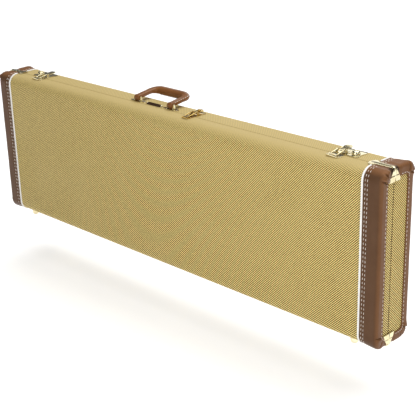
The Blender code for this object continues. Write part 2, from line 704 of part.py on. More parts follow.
def centre_over_origin():
    """Moves the stand so that the bounding box's middle is over the world origin."""
    bpy.context.view_layer.update()
    graph = bpy.context.evaluated_depsgraph_get()
    depths = []
    for obj in bpy.context.scene.objects:
        if obj.type == "MESH" and not obj.hide_render:
            shape = obj.evaluated_get(graph)
            mesh = shape.to_mesh()
            depths += [(obj.matrix_world @ vertex.co).y for vertex in mesh.vertices]
            shape.to_mesh_clear()
    stand.location.y = round(-(min(depths) + max(depths)) / 2, 5)


clear_scene()
materials = {name: make_material(name) for name in COLOURS}
stand = bpy.data.objects.new("stand", None)
stand.location.z = FOOT_DROP
bpy.context.scene.collection.objects.link(stand)

for side in ("base", "lid"):
    lining_trim = 0.0010 if side == "base" else SEAM_Y - TONGUE_FRONT + 2 * CLEAR
    make_tray(side, side + "_shell", "tweed", SHELL_IN, WALL, SEAM_GAP / 2, True)
    make_tray(side, side + "_lining", "plush", LINING_IN, LINING_THICK, lining_trim, False)
    for end in ("left", "right"):
        make_end_cover(side, end)
        make_piping(side, end)
        for level in ("top", "bottom"):
            make_corner_guard(side, end, level)
    for end, x in zip(("left", "right"), FOOT_XS):
        make_foot(side, end, x)
make_valance()
for number, x in enumerate(HINGE_XS, 1):
    make_hinge(number, x)
for end, sign in (("left", -1), ("right", 1)):
    make_bracket(end, HANDLE_X + sign * BRACKET_HALF_SPACING)
make_handle()
make_strip()
for name, x in LATCHES.items():
    make_drum(make_latch(name, x, LATCH), x)
make_latch("lock", LOCK_X, LOCK)
make_key_cylinder("lock", LOCK_X)
make_accessory_box()
make_supports()
centre_over_origin()
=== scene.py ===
"""The looks of a long tweed guitar case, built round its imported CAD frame.

Metres, +Z up, in the frame's own coordinates. X runs along the case, the lid faces -Y.
Distances "round a half" start at the seam on top and run over the wall to the seam below.
"""

import json
from math import ceil, cos, hypot, pi, radians, sin, tau

import bmesh
import bpy
import numpy as np
from mathutils import Matrix, Vector


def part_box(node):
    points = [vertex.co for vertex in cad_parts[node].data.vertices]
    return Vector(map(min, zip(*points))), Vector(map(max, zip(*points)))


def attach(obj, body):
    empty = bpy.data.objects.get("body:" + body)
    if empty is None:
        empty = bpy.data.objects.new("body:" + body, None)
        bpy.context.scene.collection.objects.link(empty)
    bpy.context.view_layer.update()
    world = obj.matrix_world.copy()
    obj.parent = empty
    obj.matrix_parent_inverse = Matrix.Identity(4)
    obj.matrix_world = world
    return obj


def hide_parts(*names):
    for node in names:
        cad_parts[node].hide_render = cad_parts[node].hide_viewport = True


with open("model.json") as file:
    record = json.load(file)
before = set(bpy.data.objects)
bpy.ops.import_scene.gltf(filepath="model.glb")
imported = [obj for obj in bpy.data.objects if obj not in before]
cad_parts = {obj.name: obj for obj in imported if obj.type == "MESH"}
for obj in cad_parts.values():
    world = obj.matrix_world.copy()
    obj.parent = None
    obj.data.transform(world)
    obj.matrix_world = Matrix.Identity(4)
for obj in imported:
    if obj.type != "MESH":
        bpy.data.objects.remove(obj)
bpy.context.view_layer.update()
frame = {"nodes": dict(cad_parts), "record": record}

# The body, measured on the frame.
BASE_LOW, BASE_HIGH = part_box("base_end_cover_right")
LID_LOW, LID_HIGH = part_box("lid_end_cover_right")
END_X = BASE_HIGH.x
TOP = BASE_HIGH.z
BOTTOM = BASE_LOW.z
MIDDLE_Y = (BASE_HIGH.y + LID_LOW.y) / 2
SEAM = (BASE_LOW.y + LID_HIGH.y) / 2 - MIDDLE_Y  # from the middle of the depth
SEAM_Y = MIDDLE_Y + SEAM
HEIGHT = TOP - BOTTOM
HALF_DEPTH = (BASE_HIGH.y - LID_LOW.y) / 2
COVER_X = BASE_LOW.x  # the vinyl's edge beside the piping
CLOTH_IN = END_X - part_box("base_shell")[1].x  # how far inside the vinyl the cloth lies
HALF_GAP = (BASE_LOW.y - LID_HIGH.y) / 2

# Rounding, as in the frame.
EDGE_RADIUS = 0.0246
END_RADIUS = 0.0066
WINDOW_Y = {"lid": 0.0326, "base": 0.0338}  # from the middle of the depth
WINDOW_Z = (0.0205, 0.3570)
WINDOW_RADIUS = 0.0110

# Vinyl.
PUFF = 0.0012  # how far it swells
GUARD_CLEAR = (0.0150, 0.0225)  # it lies flat up to this far from the seam, then swells
STITCH_ROWS = (0.0046, 0.0103)  # from the cover's edge beside the piping
WINDOW_ROW = 0.0028  # from the window's edge
STITCH_MARGIN = 0.0090  # at both ends of the rows beside the piping
WINDOW_MARGIN = 0.0192  # at both ends of the row round the window
STITCH_LENGTH = 0.0062
STITCH_PITCH = 0.0093
THREAD = 0.00058  # half its thickness

FACING = {"base": 1, "lid": -1}
SIGN = {"right": 1, "left": -1}

# Tweed. Its second cloth coordinate falls with the distance from the seam on top.
TWILL = 0.0051  # from one stripe to the next, along the yarns
# Painted sheen on top: the weave gives way to a paler plain colour between these.
PAINTED_SHEEN = (-0.050, -0.026)  # its pattern fades between these, towards the seam
PAINTED_SHEEN_END = (0.040, 0.038)  # and not beyond these, which only the end panels are
CLOTH_START = {"base": 4 * TWILL, "lid": 0.0}  # at the seam on top
CAP_START = 10 * TWILL  # on the end panels, at z = 0
CLOTH_RADIUS = 0.0043  # the cloth's rounding into the end panels
RIM_ROUND = 0.0012  # how near the seam it starts to turn in
RIM_DROP = 0.0011  # how far down it is when it has turned
RIM_DEPTH = 0.0060  # and how much further in it ends


# ---------------- shader graphs


class Graph:
    """One material's nodes round its Principled shader."""

    def __init__(self, name, **surface):
        self.material = bpy.data.materials.new(name)
        self.material.use_nodes = True
        self.tree = self.material.node_tree
        self.shader = self.tree.nodes["Principled BSDF"]
        for socket, value in surface.items():
            self.shader.inputs[socket.replace("_", " ")].default_value = value

    def put(self, socket, value):
        if isinstance(value, bpy.types.NodeSocket):
            self.tree.links.new(value, socket)
        else:
            socket.default_value = value

    def node(self, kind, inputs, **settings):
        made = self.tree.nodes.new("ShaderNode" + kind)
        for key, value in settings.items():
            setattr(made, key, value)
        for key, value in inputs.items():
            self.put(made.inputs[key], value)
        return made

    def math(self, operation, *values):
        return self.node("Math", dict(enumerate(values)), operation=operation).outputs[0]

    def place(self, kind="Object"):
        return self.node("TexCoord", {}).outputs[kind]

    def split(self, vector):
        return self.node("SeparateXYZ", {0: vector}).outputs

    def stretch(self, vector, scale):
        return self.node("VectorMath", {0: vector, 1: scale}, operation="MULTIPLY").outputs[0]

    def noise(self, vector, scale, detail=2.0, roughness=0.5):
        inputs = {"Vector": vector, "Scale": scale, "Detail": detail, "Roughness": roughness}
        return self.node("TexNoise", inputs).outputs["Fac"]

    def cells(self, vector, scale, feature="F1"):
        inputs = {"Vector": vector, "Scale": scale}
        return self.node("TexVoronoi", inputs, feature=feature).outputs["Distance"]

    def fit(self, value, low, high, to_low=0.0, to_high=1.0):
        inputs = {0: value, 1: low, 2: high, 3: to_low, 4: to_high}
        return self.node("MapRange", inputs).outputs[0]

    def mix(self, factor, first, second):
        inputs = {0: factor, 6: first, 7: second}
        return self.node("Mix", inputs, data_type="RGBA").outputs[2]

    def speckle(self, value, low, high, first, second):
        """A colour that goes from first to second as value goes from low to high."""
        return self.mix(self.fit(value, low, high), colour(*first), colour(*second))

    def away(self, value, middle, start, end):
        """From 0 to 1 as value's distance from middle, on either side, goes from start to end."""
        offset = self.math("SUBTRACT", value, middle) if middle else value
        return self.fit(self.math("ABSOLUTE", offset), start, end)

    def bump(self, height, strength, distance, normal=None):
        inputs = {"Height": height, "Strength": strength, "Distance": distance}
        if normal is not None:
            inputs["Normal"] = normal
        return self.node("Bump", inputs).outputs[0]

    def set(self, **sockets):
        for socket, value in sockets.items():
            self.put(self.shader.inputs[socket.replace("_", " ")], value)
        return self.material


def colour(red, green, blue):
    return (red, green, blue, 1.0)  # opaque


def tweed_material():
    """Lacquered twill: straw cells between brown diagonals, with a painted sheen along the top
    that turns the weave there to a paler plain colour, and a dotted dark line at the seam of the
    case."""
    graph = Graph("tweed", Specular_IOR_Level=0.12)
    cloth = graph.place("UV")
    wobble = graph.math("SUBTRACT", graph.noise(cloth, 130.0, 2.0), 0.5)
    along, up, _ = graph.split(graph.stretch(cloth, (1 / TWILL, 1 / TWILL, 1.0)))
    rising = graph.math("MULTIPLY_ADD", wobble, 0.16, graph.math("SUBTRACT", along, up))
    falling = graph.math("MULTIPLY_ADD", wobble, 0.12, graph.math("ADD", along, up))
    stripe = graph.math("COSINE", graph.math("MULTIPLY", rising, tau))
    cross = graph.math("COSINE", graph.math("MULTIPLY", falling, tau))
    slub = graph.noise(cloth, 520.0, 3.0, 0.7)
    weave = graph.math("MULTIPLY_ADD", cross, 0.28, stripe)
    ragged = graph.math("MULTIPLY_ADD", graph.math("SUBTRACT", slub, 0.5), 0.30, weave)
    brown_share = graph.fit(ragged, -0.38, -0.06)
    height = graph.split(cloth)[1]
    # Painted sheen: the top, towards the seam, is painted paler and plainer for the light that
    # falls on it.
    painted_light = graph.math(
        "MULTIPLY", graph.fit(height, *PAINTED_SHEEN), graph.fit(height, *PAINTED_SHEEN_END)
    )
    patch = graph.noise(cloth, 9.0, 3.0)
    yarn = graph.noise(graph.stretch(cloth, (1.0, 7.0, 1.0)), 150.0, 2.0)
    straw = graph.speckle(yarn, 0.3, 0.7, (0.99, 0.790, 0.290), (0.95, 0.740, 0.255))
    brown = graph.speckle(slub, 0.35, 0.65, (0.045, 0.018, 0.004), (0.085, 0.038, 0.009))
    woven = graph.mix(brown_share, straw, brown)
    # The painted sheen's paler plain colour on top.
    painted_sheen_colour = graph.speckle(slub, 0.25, 0.75, (0.50, 0.375, 0.150), (0.60, 0.475, 0.215))
    with_painted_sheen = graph.mix(graph.math("MULTIPLY", painted_light, 0.86), woven, painted_sheen_colour)
    aged = graph.mix(graph.fit(patch, 0.35, 0.75, 0.0, 0.14), with_painted_sheen, colour(0.58, 0.44, 0.18))
    place = graph.place()
    in_seam = graph.away(graph.split(place)[1], SEAM_Y, 0.0019, 0.0008)
    dots = graph.fit(graph.noise(place, 520.0, 1.0), 0.40, 0.52, 0.35, 0.95)
    dots = graph.math("MULTIPLY", dots, graph.fit(painted_light, 0.0, 1.0, 1.0, 0.25))
    aged = graph.mix(graph.math("MULTIPLY", in_seam, dots), aged, colour(0.085, 0.040, 0.013))
    relief = graph.math("MULTIPLY_ADD", slub, 0.35, graph.math("SUBTRACT", 1.0, brown_share))
    normal = graph.bump(relief, 0.40, 0.0004)
    shine = graph.fit(graph.math("ADD", slub, patch), 0.6, 1.4, 0.62, 0.46)
    return graph.set(Base_Color=aged, Roughness=shine, Normal=normal)


def hide_material(name, light, dark, sheen, roughness, grain, coat=0.0, painted_light=None):
    """Vinyl or leather: cloudy colour and a fine pebbled grain, darker in its hollows.

    The colour given last, if any, is painted on top and over the ends as a painted highlight,
    where the light falls; the tucks beside the corner guards' bends then get painted shade.
    """
    graph = Graph(
        name, Specular_IOR_Level=0.28, Specular_Tint=sheen, Coat_Weight=coat, Coat_Roughness=0.10
    )
    place = graph.place()
    pebble = graph.cells(place, grain, "SMOOTH_F1")
    pores = graph.noise(place, grain * 2.3, 2.0)
    cloud = graph.noise(place, 16.0, 4.0, 0.6)
    blotch = graph.noise(place, 75.0, 3.0)
    clouds = graph.math("MULTIPLY", cloud, 0.7)
    tone = graph.math("ADD", clouds, graph.math("MULTIPLY", blotch, 0.3))
    skin = graph.mix(graph.fit(tone, 0.3, 0.7), dark, light)
    if painted_light:
        # Painted highlight: paler on top and over the ends, where the light falls.
        x, y, z = graph.split(place)
        on_end = graph.fit(graph.math("ABSOLUTE", x), END_X - 0.0045, END_X + 0.0005, 0.0, 0.62)
        on_top = graph.fit(z, TOP - 0.010, TOP - 0.001)
        painted_light_mask = graph.math("MAXIMUM", on_end, on_top)
        patchy_painted_light = graph.math("MULTIPLY", painted_light_mask, graph.fit(tone, 0.2, 0.7, 0.75, 1.0))
        skin = graph.mix(patchy_painted_light, skin, painted_light)
        # Painted shade: near black in the tucks beside the corner guards' bends.
        at_end = graph.away(x, 0.0, END_X - 0.0110, END_X - 0.0050)
        tuck_shade = graph.math("MULTIPLY", at_end, graph.fit(z, TOP - 0.0130, TOP - 0.0070))
        beside = graph.away(y, SEAM_Y, 0.0165, 0.0115)
        skin = graph.mix(graph.math("MULTIPLY", tuck_shade, beside), skin, colour(0.020, 0.010, 0.006))
    hollow = graph.mix(graph.fit(pebble, 0.25, 0.75, 0.0, 0.35), skin, dark)
    height = graph.math("SUBTRACT", graph.fit(pores, 0.3, 0.7, 0.0, 0.3), pebble)
    normal = graph.bump(height, 0.30, 0.00022)
    shine = graph.fit(graph.math("ADD", pebble, blotch), 0.6, 1.4, roughness, roughness + 0.14)
    return graph.set(Base_Color=hollow, Roughness=shine, Normal=normal)


def piping_material():
    """Cream plastic cord with a faint dulling along it."""
    graph = Graph("piping", Specular_IOR_Level=0.5)
    place = graph.place()
    age = graph.noise(place, 45.0, 3.0)
    grain = graph.noise(place, 900.0, 1.0)
    tint = graph.speckle(age, 0.35, 0.75, (0.93, 0.92, 0.89), (0.84, 0.81, 0.74))
    shine = graph.fit(age, 0.3, 0.7, 0.28, 0.42)
    return graph.set(Base_Color=tint, Roughness=shine, Normal=graph.bump(grain, 0.08, 0.0002))


def metal_material(name, bright, worn, roughness, brushed=False):
    """Plated metal with smudges, hairline scratches and shallow dents, or brushed along X."""
    graph = Graph(name, Metallic=1.0)
    place = graph.place()
    smudge = graph.noise(place, 55.0, 4.0, 0.6)
    streaks = graph.stretch(place, (12.0, 900.0, 900.0) if brushed else (900.0, 90.0, 900.0))
    hairline = graph.noise(streaks, 1.0, 2.0)
    dents = graph.noise(place, 140.0, 2.0)
    tint = graph.mix(graph.fit(smudge, 0.35, 0.75), bright, worn)
    haze = graph.fit(smudge, 0.3, 0.75, roughness, roughness + 0.10)
    ragged = graph.math("ADD", haze, graph.fit(hairline, 0.55, 0.8, 0.0, 0.08))
    normal = graph.bump(hairline, 0.15, 0.0001) if brushed else graph.bump(dents, 0.10, 0.0006)
    return graph.set(Base_Color=tint, Roughness=ragged, Normal=normal)


def thread_material():
    """Waxed cream thread, twisted."""
    graph = Graph("thread", Roughness=0.55)
    place = graph.place()
    wave = graph.node("TexWave", {"Vector": place, "Scale": 420.0, "Distortion": 1.5})
    twist = wave.outputs["Fac"]
    soil = graph.noise(place, 130.0, 3.0)
    tint = graph.speckle(soil, 0.35, 0.8, (0.88, 0.82, 0.74), (0.62, 0.52, 0.42))
    shaded = graph.mix(graph.fit(twist, 0.0, 0.5, 0.22, 0.0), tint, colour(0.40, 0.30, 0.22))
    return graph.set(Base_Color=shaded, Normal=graph.bump(twist, 0.4, 0.0002))


def plush_material():
    """Short crushed pile: darker where it lies one way, with a soft sheen."""
    graph = Graph("plush", Roughness=0.95, Sheen_Weight=0.55, Sheen_Roughness=0.35)
    place = graph.place()
    lie = graph.noise(place, 11.0, 5.0, 0.65)
    crush = graph.noise(place, 60.0, 4.0, 0.7)
    pile = graph.noise(place, 1400.0, 2.0)
    lying = graph.math("MULTIPLY", lie, 0.6)
    brushed = graph.math("ADD", lying, graph.math("MULTIPLY", crush, 0.4))
    tint = graph.speckle(brushed, 0.36, 0.66, (0.075, 0.018, 0.012), (0.23, 0.062, 0.036))
    tipped = graph.mix(graph.fit(pile, 0.45, 0.8, 0.0, 0.5), tint, colour(0.30, 0.10, 0.06))
    normal = graph.bump(crush, 0.5, 0.003)
    return graph.set(Base_Color=tipped, Normal=graph.bump(pile, 0.6, 0.0006, normal))


def floor_material():
    """White paper that glows faintly, so that it comes out as bright as the photograph's."""
    white = colour(1.0, 1.0, 1.0)
    graph = Graph("floor", Specular_IOR_Level=0.2, Emission_Color=white, Emission_Strength=0.24)
    speck = graph.noise(graph.place(), 3.0, 4.0)
    tint = graph.mix(speck, colour(0.93, 0.93, 0.93), colour(0.90, 0.90, 0.90))
    return graph.set(Base_Color=tint, Roughness=graph.fit(speck, 0.3, 0.7, 0.75, 0.9))


def make_materials():
    return {
        "tweed": tweed_material(),
        "vinyl": hide_material(
            "vinyl",
            colour(0.110, 0.057, 0.031),
            colour(0.082, 0.041, 0.021),
            colour(0.95, 0.50, 0.27),
            0.36,
            1100.0,
            # The colour of the painted highlight on top and over the ends.
            painted_light=colour(0.222, 0.098, 0.040),
        ),
        "leather": hide_material(
            "leather",
            colour(0.270, 0.105, 0.028),
            colour(0.150, 0.055, 0.014),
            colour(1.0, 0.74, 0.52),
            0.30,
            900.0,
            0.40,
        ),
        "strap": hide_material(
            "strap",
            colour(0.060, 0.032, 0.018),
            colour(0.032, 0.016, 0.009),
            colour(1.0, 0.80, 0.62),
            0.34,
            900.0,
        ),
        "piping": piping_material(),
        "brass": metal_material("brass", colour(0.87, 0.80, 0.55), colour(0.72, 0.60, 0.32), 0.10),
        "gold": metal_material("gold", colour(0.74, 0.54, 0.19), colour(0.42, 0.27, 0.07), 0.08),
        "steel": metal_material(
            "steel", colour(0.66, 0.66, 0.66), colour(0.52, 0.51, 0.50), 0.26, brushed=True
        ),
        "thread": thread_material(),
        "plush": plush_material(),
        "floor": floor_material(),
    }


# ---------------- mesh building


def new_object(name, data):
    made = bpy.data.objects.new(name, data)
    bpy.context.scene.collection.objects.link(made)
    return made


class Build:
    """Collects grids and caps of points, with a cloth coordinate for each point."""

    def __init__(self):
        self.points = []
        self.coords = []
        self.faces = []

    def add(self, points, coords=None):
        start = len(self.points)
        flat = np.asarray(points, float).reshape(-1, 3)
        self.points += [tuple(point) for point in flat]
        if coords is None:
            coords = flat[:, :2]
        self.coords += [tuple(pair) for pair in np.asarray(coords, float).reshape(-1, 2)]
        return start

    def grid(self, points, coords=None, closed=False):
        """Quads between rows of points; closed joins each row's end to its start."""
        points = np.asarray(points, float)
        rows, columns = points.shape[:2]
        start = self.add(points, coords)
        for row in range(rows - 1):
            for column in range(columns if closed else columns - 1):
                low = start + row * columns
                after = (column + 1) % columns
                high = low + columns
                self.faces.append((low + column, low + after, high + after, high + column))
        return self

    def cap(self, ring, coords=None):
        start = self.add(ring, coords)
        self.faces.append(tuple(range(start, start + len(ring))))
        return self

    def loft(self, rings):
        """A closed solid through rings, with both ends capped."""
        self.grid(rings, closed=True)
        self.cap(rings[0])
        self.cap(rings[-1])
        return self

    def make(self, name, material, body, slot, sharp=35.0, turn_out=True):
        """The piece: its points welded, riding on body, with edges over sharp degrees kept."""
        mesh = bpy.data.meshes.new(name)
        mesh.from_pydata(self.points, [], self.faces)
        layer = mesh.uv_layers.new(name="cloth")
        spots = np.zeros(len(mesh.loops), np.int32)
        mesh.loops.foreach_get("vertex_index", spots)
        layer.data.foreach_set("uv", np.asarray(self.coords, np.float32)[spots].ravel())
        shape = bmesh.new()
        shape.from_mesh(mesh)
        bmesh.ops.remove_doubles(shape, verts=shape.verts, dist=1e-6)
        if turn_out:
            bmesh.ops.recalc_face_normals(shape, faces=shape.faces)
        shape.to_mesh(mesh)
        shape.free()
        mesh.shade_smooth()
        mesh.set_sharp_from_angle(angle=radians(sharp))
        mesh.materials.append(MATERIALS[material])
        piece = new_object(name, mesh)
        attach(piece, body)
        return piece


def smooth(value, low, high):
    """From 0 at low to 1 at high, without a kink."""
    share = np.clip((value - low) / (high - low), 0.0, 1.0)
    return share * share * (3 - 2 * share)


def spread(*values):
    """Points from their coordinates, over rows and columns."""
    return np.stack(np.broadcast_arrays(*values), -1)


def disc(radius, steps):
    angles = np.arange(steps) * tau / steps
    return np.stack([radius * np.cos(angles), radius * np.sin(angles)], 1)


def add_stitch(build, spine, normal, thread, flat, stand, sunk):
    """A dash of thread along spine, thick in the middle and drawn in at its ends.

    thread is half its width, and the rest are times that: how thick it is, how far its middle
    rises over its ends, and how far the ends are sunk.
    """
    rise = np.sin(np.linspace(0, 1, len(spine)) * pi) ** 0.5
    along = np.gradient(spine, axis=0)
    along /= np.linalg.norm(along, axis=1)[:, None]
    across = np.cross(along, normal)
    spine = spine + normal * (thread * (stand * rise - sunk))[:, None]
    rings = []
    for a, b in disc(1.0, 6):
        offset = across * a * thread + normal * b * thread * flat
        rings.append(spine + offset * (0.55 + 0.45 * rise)[:, None])
    build.grid(np.stack(rings, 1), closed=True)


# ---------------- the wall's geometry


class Wall:
    """One half's wall: the outer outline and the end window, by the distance round it."""

    def __init__(self, side):
        self.facing = FACING[side]
        reach = HALF_DEPTH - EDGE_RADIUS
        flat = reach - self.facing * SEAM
        arc = EDGE_RADIUS * pi / 2
        upright = HEIGHT - 2 * EDGE_RADIUS
        self.knots = np.cumsum([0.0, flat, arc, upright, arc, flat])
        self.length = self.knots[-1]
        self.reach = reach
        low, high = WINDOW_Z
        self.window = (WINDOW_Y[side] - WINDOW_RADIUS, low + WINDOW_RADIUS, high - WINDOW_RADIUS)

    def centre(self, s, reach, low, high):
        """Where the rounding's centre is, s round the half: reach out, between low and high."""
        seam, start, _, _, end, finish = self.knots
        side = self.facing * reach
        y = np.interp(s, [seam, start, end, finish], [SEAM, side, side, SEAM])
        z = np.interp(s, self.knots[2:4], [high, low])
        return y + MIDDLE_Y, z + BOTTOM

    def normal(self, s):
        quarter = pi / 2
        angle = np.interp(s, self.knots, [0, 0, quarter, quarter, 2 * quarter, 2 * quarter])
        return self.facing * np.sin(angle), np.cos(angle)

    def outer(self, s, inset):
        y, z = self.centre(s, self.reach, EDGE_RADIUS, HEIGHT - EDGE_RADIUS)
        ny, nz = self.normal(s)
        return y + ny * (EDGE_RADIUS - inset), z + nz * (EDGE_RADIUS - inset)

    def opening(self, s):
        y, z = self.centre(s, *self.window)
        ny, nz = self.normal(s)
        return y + ny * WINDOW_RADIUS, z + nz * WINDOW_RADIUS

    def stations(self, step):
        """Distances round the half, no further apart than step, with one at each knot."""
        found = [0.0]
        for low, high in zip(self.knots[:-1], self.knots[1:]):
            count = max(1, ceil((high - low) / step))
            found += list(low + (high - low) * np.arange(1, count + 1) / count)
        return np.array(found)


WALLS = {side: Wall(side) for side in FACING}
FLAT_ACROSS = END_X - END_RADIUS - COVER_X
TURN_ACROSS = END_RADIUS * pi / 2
FACE_ACROSS = 0.0140  # nominal width of the vinyl on the end face
ACROSS = FLAT_ACROSS + TURN_ACROSS + FACE_ACROSS

# Folds where the vinyl is gathered at the corners of an end: from and to (outwards from the
# middle of the depth, up from the bottom), then width, depth and how far one side stands up.
FOLDS = {
    ("lid", "top"): (
        ((0.0550, 0.3635), (0.0335, 0.3510), 0.0019, 0.0036, 0.0046),
        ((0.0440, 0.3750), (0.0352, 0.3605), 0.0014, 0.0040, 0.0020),
    ),
    ("base", "top"): (
        ((0.0370, 0.3800), (0.0350, 0.3580), 0.0017, 0.0044, 0.0026),
        ((0.0520, 0.3545), (0.0390, 0.3562), 0.0015, 0.0032, 0.0018),
    ),
    ("lid", "bottom"): (
        ((0.0500, 0.0290), (0.0350, 0.0250), 0.0014, 0.0034, 0.0020),
        ((0.0430, 0.0020), (0.0340, 0.0190), 0.0012, 0.0014, 0.0),
    ),
    ("base", "bottom"): (
        ((0.0525, 0.0165), (0.0370, 0.0240), 0.0015, 0.0032, 0.0022),
        ((0.0375, 0.0050), (0.0280, 0.0105), 0.0014, 0.0022, 0.0014),
    ),
}
# Swellings beside the folds: their middle, out and up, then radius and height.
BULGES = {
    ("lid", "top"): ((0.0455, 0.3685, 0.0095, 0.0054), (0.0300, 0.3740, 0.0055, 0.0018)),
    ("base", "top"): ((0.0500, 0.3590, 0.0070, 0.0034), (0.0350, 0.3700, 0.0080, 0.0012)),
    ("lid", "bottom"): ((0.0460, 0.0220, 0.0080, 0.0012),),
    ("base", "bottom"): ((0.0470, 0.0240, 0.0080, 0.0016),),
}

# How far the vinyl stands proud round a half's corners near the end: top, bottom.
CORNER_FULL = {"lid": (0.0018, 0.0010), "base": (0.0038, 0.0014)}
CORNER_SPREAD = 0.0125


def gathered(side, outwards, up):
    """How far the folds and swellings move the vinyl, on the end face."""
    moved = np.zeros_like(outwards)
    for level in ("top", "bottom"):
        for start, end, width, depth, stand in FOLDS[side, level]:
            run = np.subtract(end, start)
            length = hypot(*run)
            run = run / length
            along = (outwards - start[0]) * run[0] + (up - start[1]) * run[1]
            beside = (up - start[1]) * run[0] - (outwards - start[0]) * run[1]
            if level == "bottom":
                beside = -beside
            if side == "lid" and run[0] < 0:
                beside = -beside
            fade = smooth(along, -0.004, 0.001)
            fade = fade * (1 - smooth(along, length - 0.004, length + 0.002))
            moved -= fade * depth * np.exp(-((beside / width) ** 2))
            ridge = np.exp(-np.maximum(beside, 0) / 0.006) * smooth(beside, 0, width)
            moved += fade * stand * ridge
        for out, height, radius, lift in BULGES[side, level]:
            away = (outwards - out) ** 2 + (up - height) ** 2
            moved += lift * np.exp(-away / radius**2)
    return moved


def vinyl_surface(side, sign, s, t):
    """Points and outward normals of the vinyl, s round the half and t across from the piping."""
    wall = WALLS[side]
    s, t = np.broadcast_arrays(np.asarray(s, float), np.asarray(t, float))
    ny, nz = wall.normal(s)
    angle = np.clip((t - FLAT_ACROSS) / END_RADIUS, 0, pi / 2)
    x = COVER_X + np.minimum(t, FLAT_ACROSS) + END_RADIUS * np.sin(angle)
    y, z = wall.outer(s, END_RADIUS * (1 - np.cos(angle)))
    window_y, window_z = wall.opening(s)
    share = np.clip((t - FLAT_ACROSS - TURN_ACROSS) / FACE_ACROSS, 0, 1)
    y = y + (window_y - y) * share
    z = z + (window_z - z) * share

    normal = np.stack([np.sin(angle), np.cos(angle) * ny, np.cos(angle) * nz], -1)
    off_seam = np.minimum(s, wall.length - s)
    swell = smooth(off_seam, *GUARD_CLEAR)
    lift = PUFF * swell * smooth(t, 0.0, 0.018)
    for row in STITCH_ROWS:
        lift -= 0.00045 * np.exp(-(((t - row) / 0.0011) ** 2))
    lift -= 0.00050 * np.exp(-(((t - (ACROSS - WINDOW_ROW)) / 0.0012) ** 2))
    on_end = smooth(angle, 0.3, 1.3)
    outwards = (y - MIDDLE_Y) * wall.facing
    lift += on_end * gathered(side, outwards, z - BOTTOM)
    near_end = smooth(t, FLAT_ACROSS - 0.018, FLAT_ACROSS + 0.002) * (1 - 0.6 * on_end)
    for knot, fullness in zip((1, 3), CORNER_FULL[side]):
        corner = wall.knots[knot : knot + 2].mean()
        beside = np.exp(-(((s - corner) / CORNER_SPREAD) ** 2))
        lift += fullness * beside * near_end
    wave = np.sin(s * 61.0 + 1.3) * np.sin(t * 190.0 + s * 23.0)
    lift += 0.00018 * swell * wave
    points = np.stack([x, y, z], -1) + normal * lift[..., None]
    points[..., 0] *= sign
    normal[..., 0] *= sign
    return points, normal


def make_vinyl(side, end):
    """One half of an end's vinyl: a gathered skin, turned in at the seam and at the window."""
    sign = SIGN[end]
    wall = WALLS[side]
    s = wall.stations(0.0022)
    t = np.concatenate(
        [
            np.linspace(0, FLAT_ACROSS, 19),
            FLAT_ACROSS + TURN_ACROSS * np.arange(1, 7) / 6,
            FLAT_ACROSS + TURN_ACROSS + FACE_ACROSS * np.arange(1, 15) / 14,
        ]
    )
    points, normals = vinyl_surface(side, sign, s[:, None], t[None, :])
    inward = np.stack([np.zeros_like(s), *wall.normal(s)], -1) * -1
    face = points[:, -1]
    out = np.array([sign, 0.0, 0.0])
    turned = [
        face + inward * 0.0004 - out * 0.00025,
        face + inward * 0.0006 - out * 0.0008,
        face + inward * 0.0006 - out * 0.0040,
    ]
    tucked = points[:, 0] - normals[:, 0] * 0.0010
    points = np.concatenate([tucked[:, None], points, np.stack(turned, 1)], 1)
    normals = np.concatenate([normals[:, :1], normals, np.repeat(normals[:, -1:], 3, 1)], 1)
    rim = SEAM_Y + wall.facing * HALF_GAP
    rows = []
    for row in (0, -1):
        edges = []
        for depth, away in ((0.0, 0.0009), (0.0007, 0.0), (0.0016, 0.0)):
            edge = points[row] - normals[row] * depth
            edge[:, 1] = rim + wall.facing * away
            edges.append(edge)
        rows.append(np.stack(edges))
    points = np.concatenate([rows[0][::-1], points[1:-1], rows[1]], 0)
    cover = Build().grid(points)
    piece = cover.make(f"vinyl_{side}_{end}", "vinyl", side, "vinyl", 50.0)
    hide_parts(f"{side}_end_cover_{end}")
    return piece


def make_stitches(side, end):
    """Dashes of thread: two rows beside the piping, and one round the window."""
    sign = SIGN[end]
    wall = WALLS[side]
    rows = [(row, STITCH_MARGIN) for row in STITCH_ROWS] + [(ACROSS - WINDOW_ROW, WINDOW_MARGIN)]
    steps = np.linspace(0, 1, 7)
    build = Build()
    for row, margin in rows:
        count = int((wall.length - 2 * margin) // STITCH_PITCH)
        first = (wall.length - count * STITCH_PITCH + STITCH_PITCH - STITCH_LENGTH) / 2
        for number in range(count):
            start = first + number * STITCH_PITCH
            s = start + steps * STITCH_LENGTH
            spine, normal = vinyl_surface(side, sign, s, row)
            add_stitch(build, spine, normal, THREAD, 0.85, 1.35, 0.75)
    return build.make(f"stitches_{side}_{end}", "thread", side, "piping", 60.0)


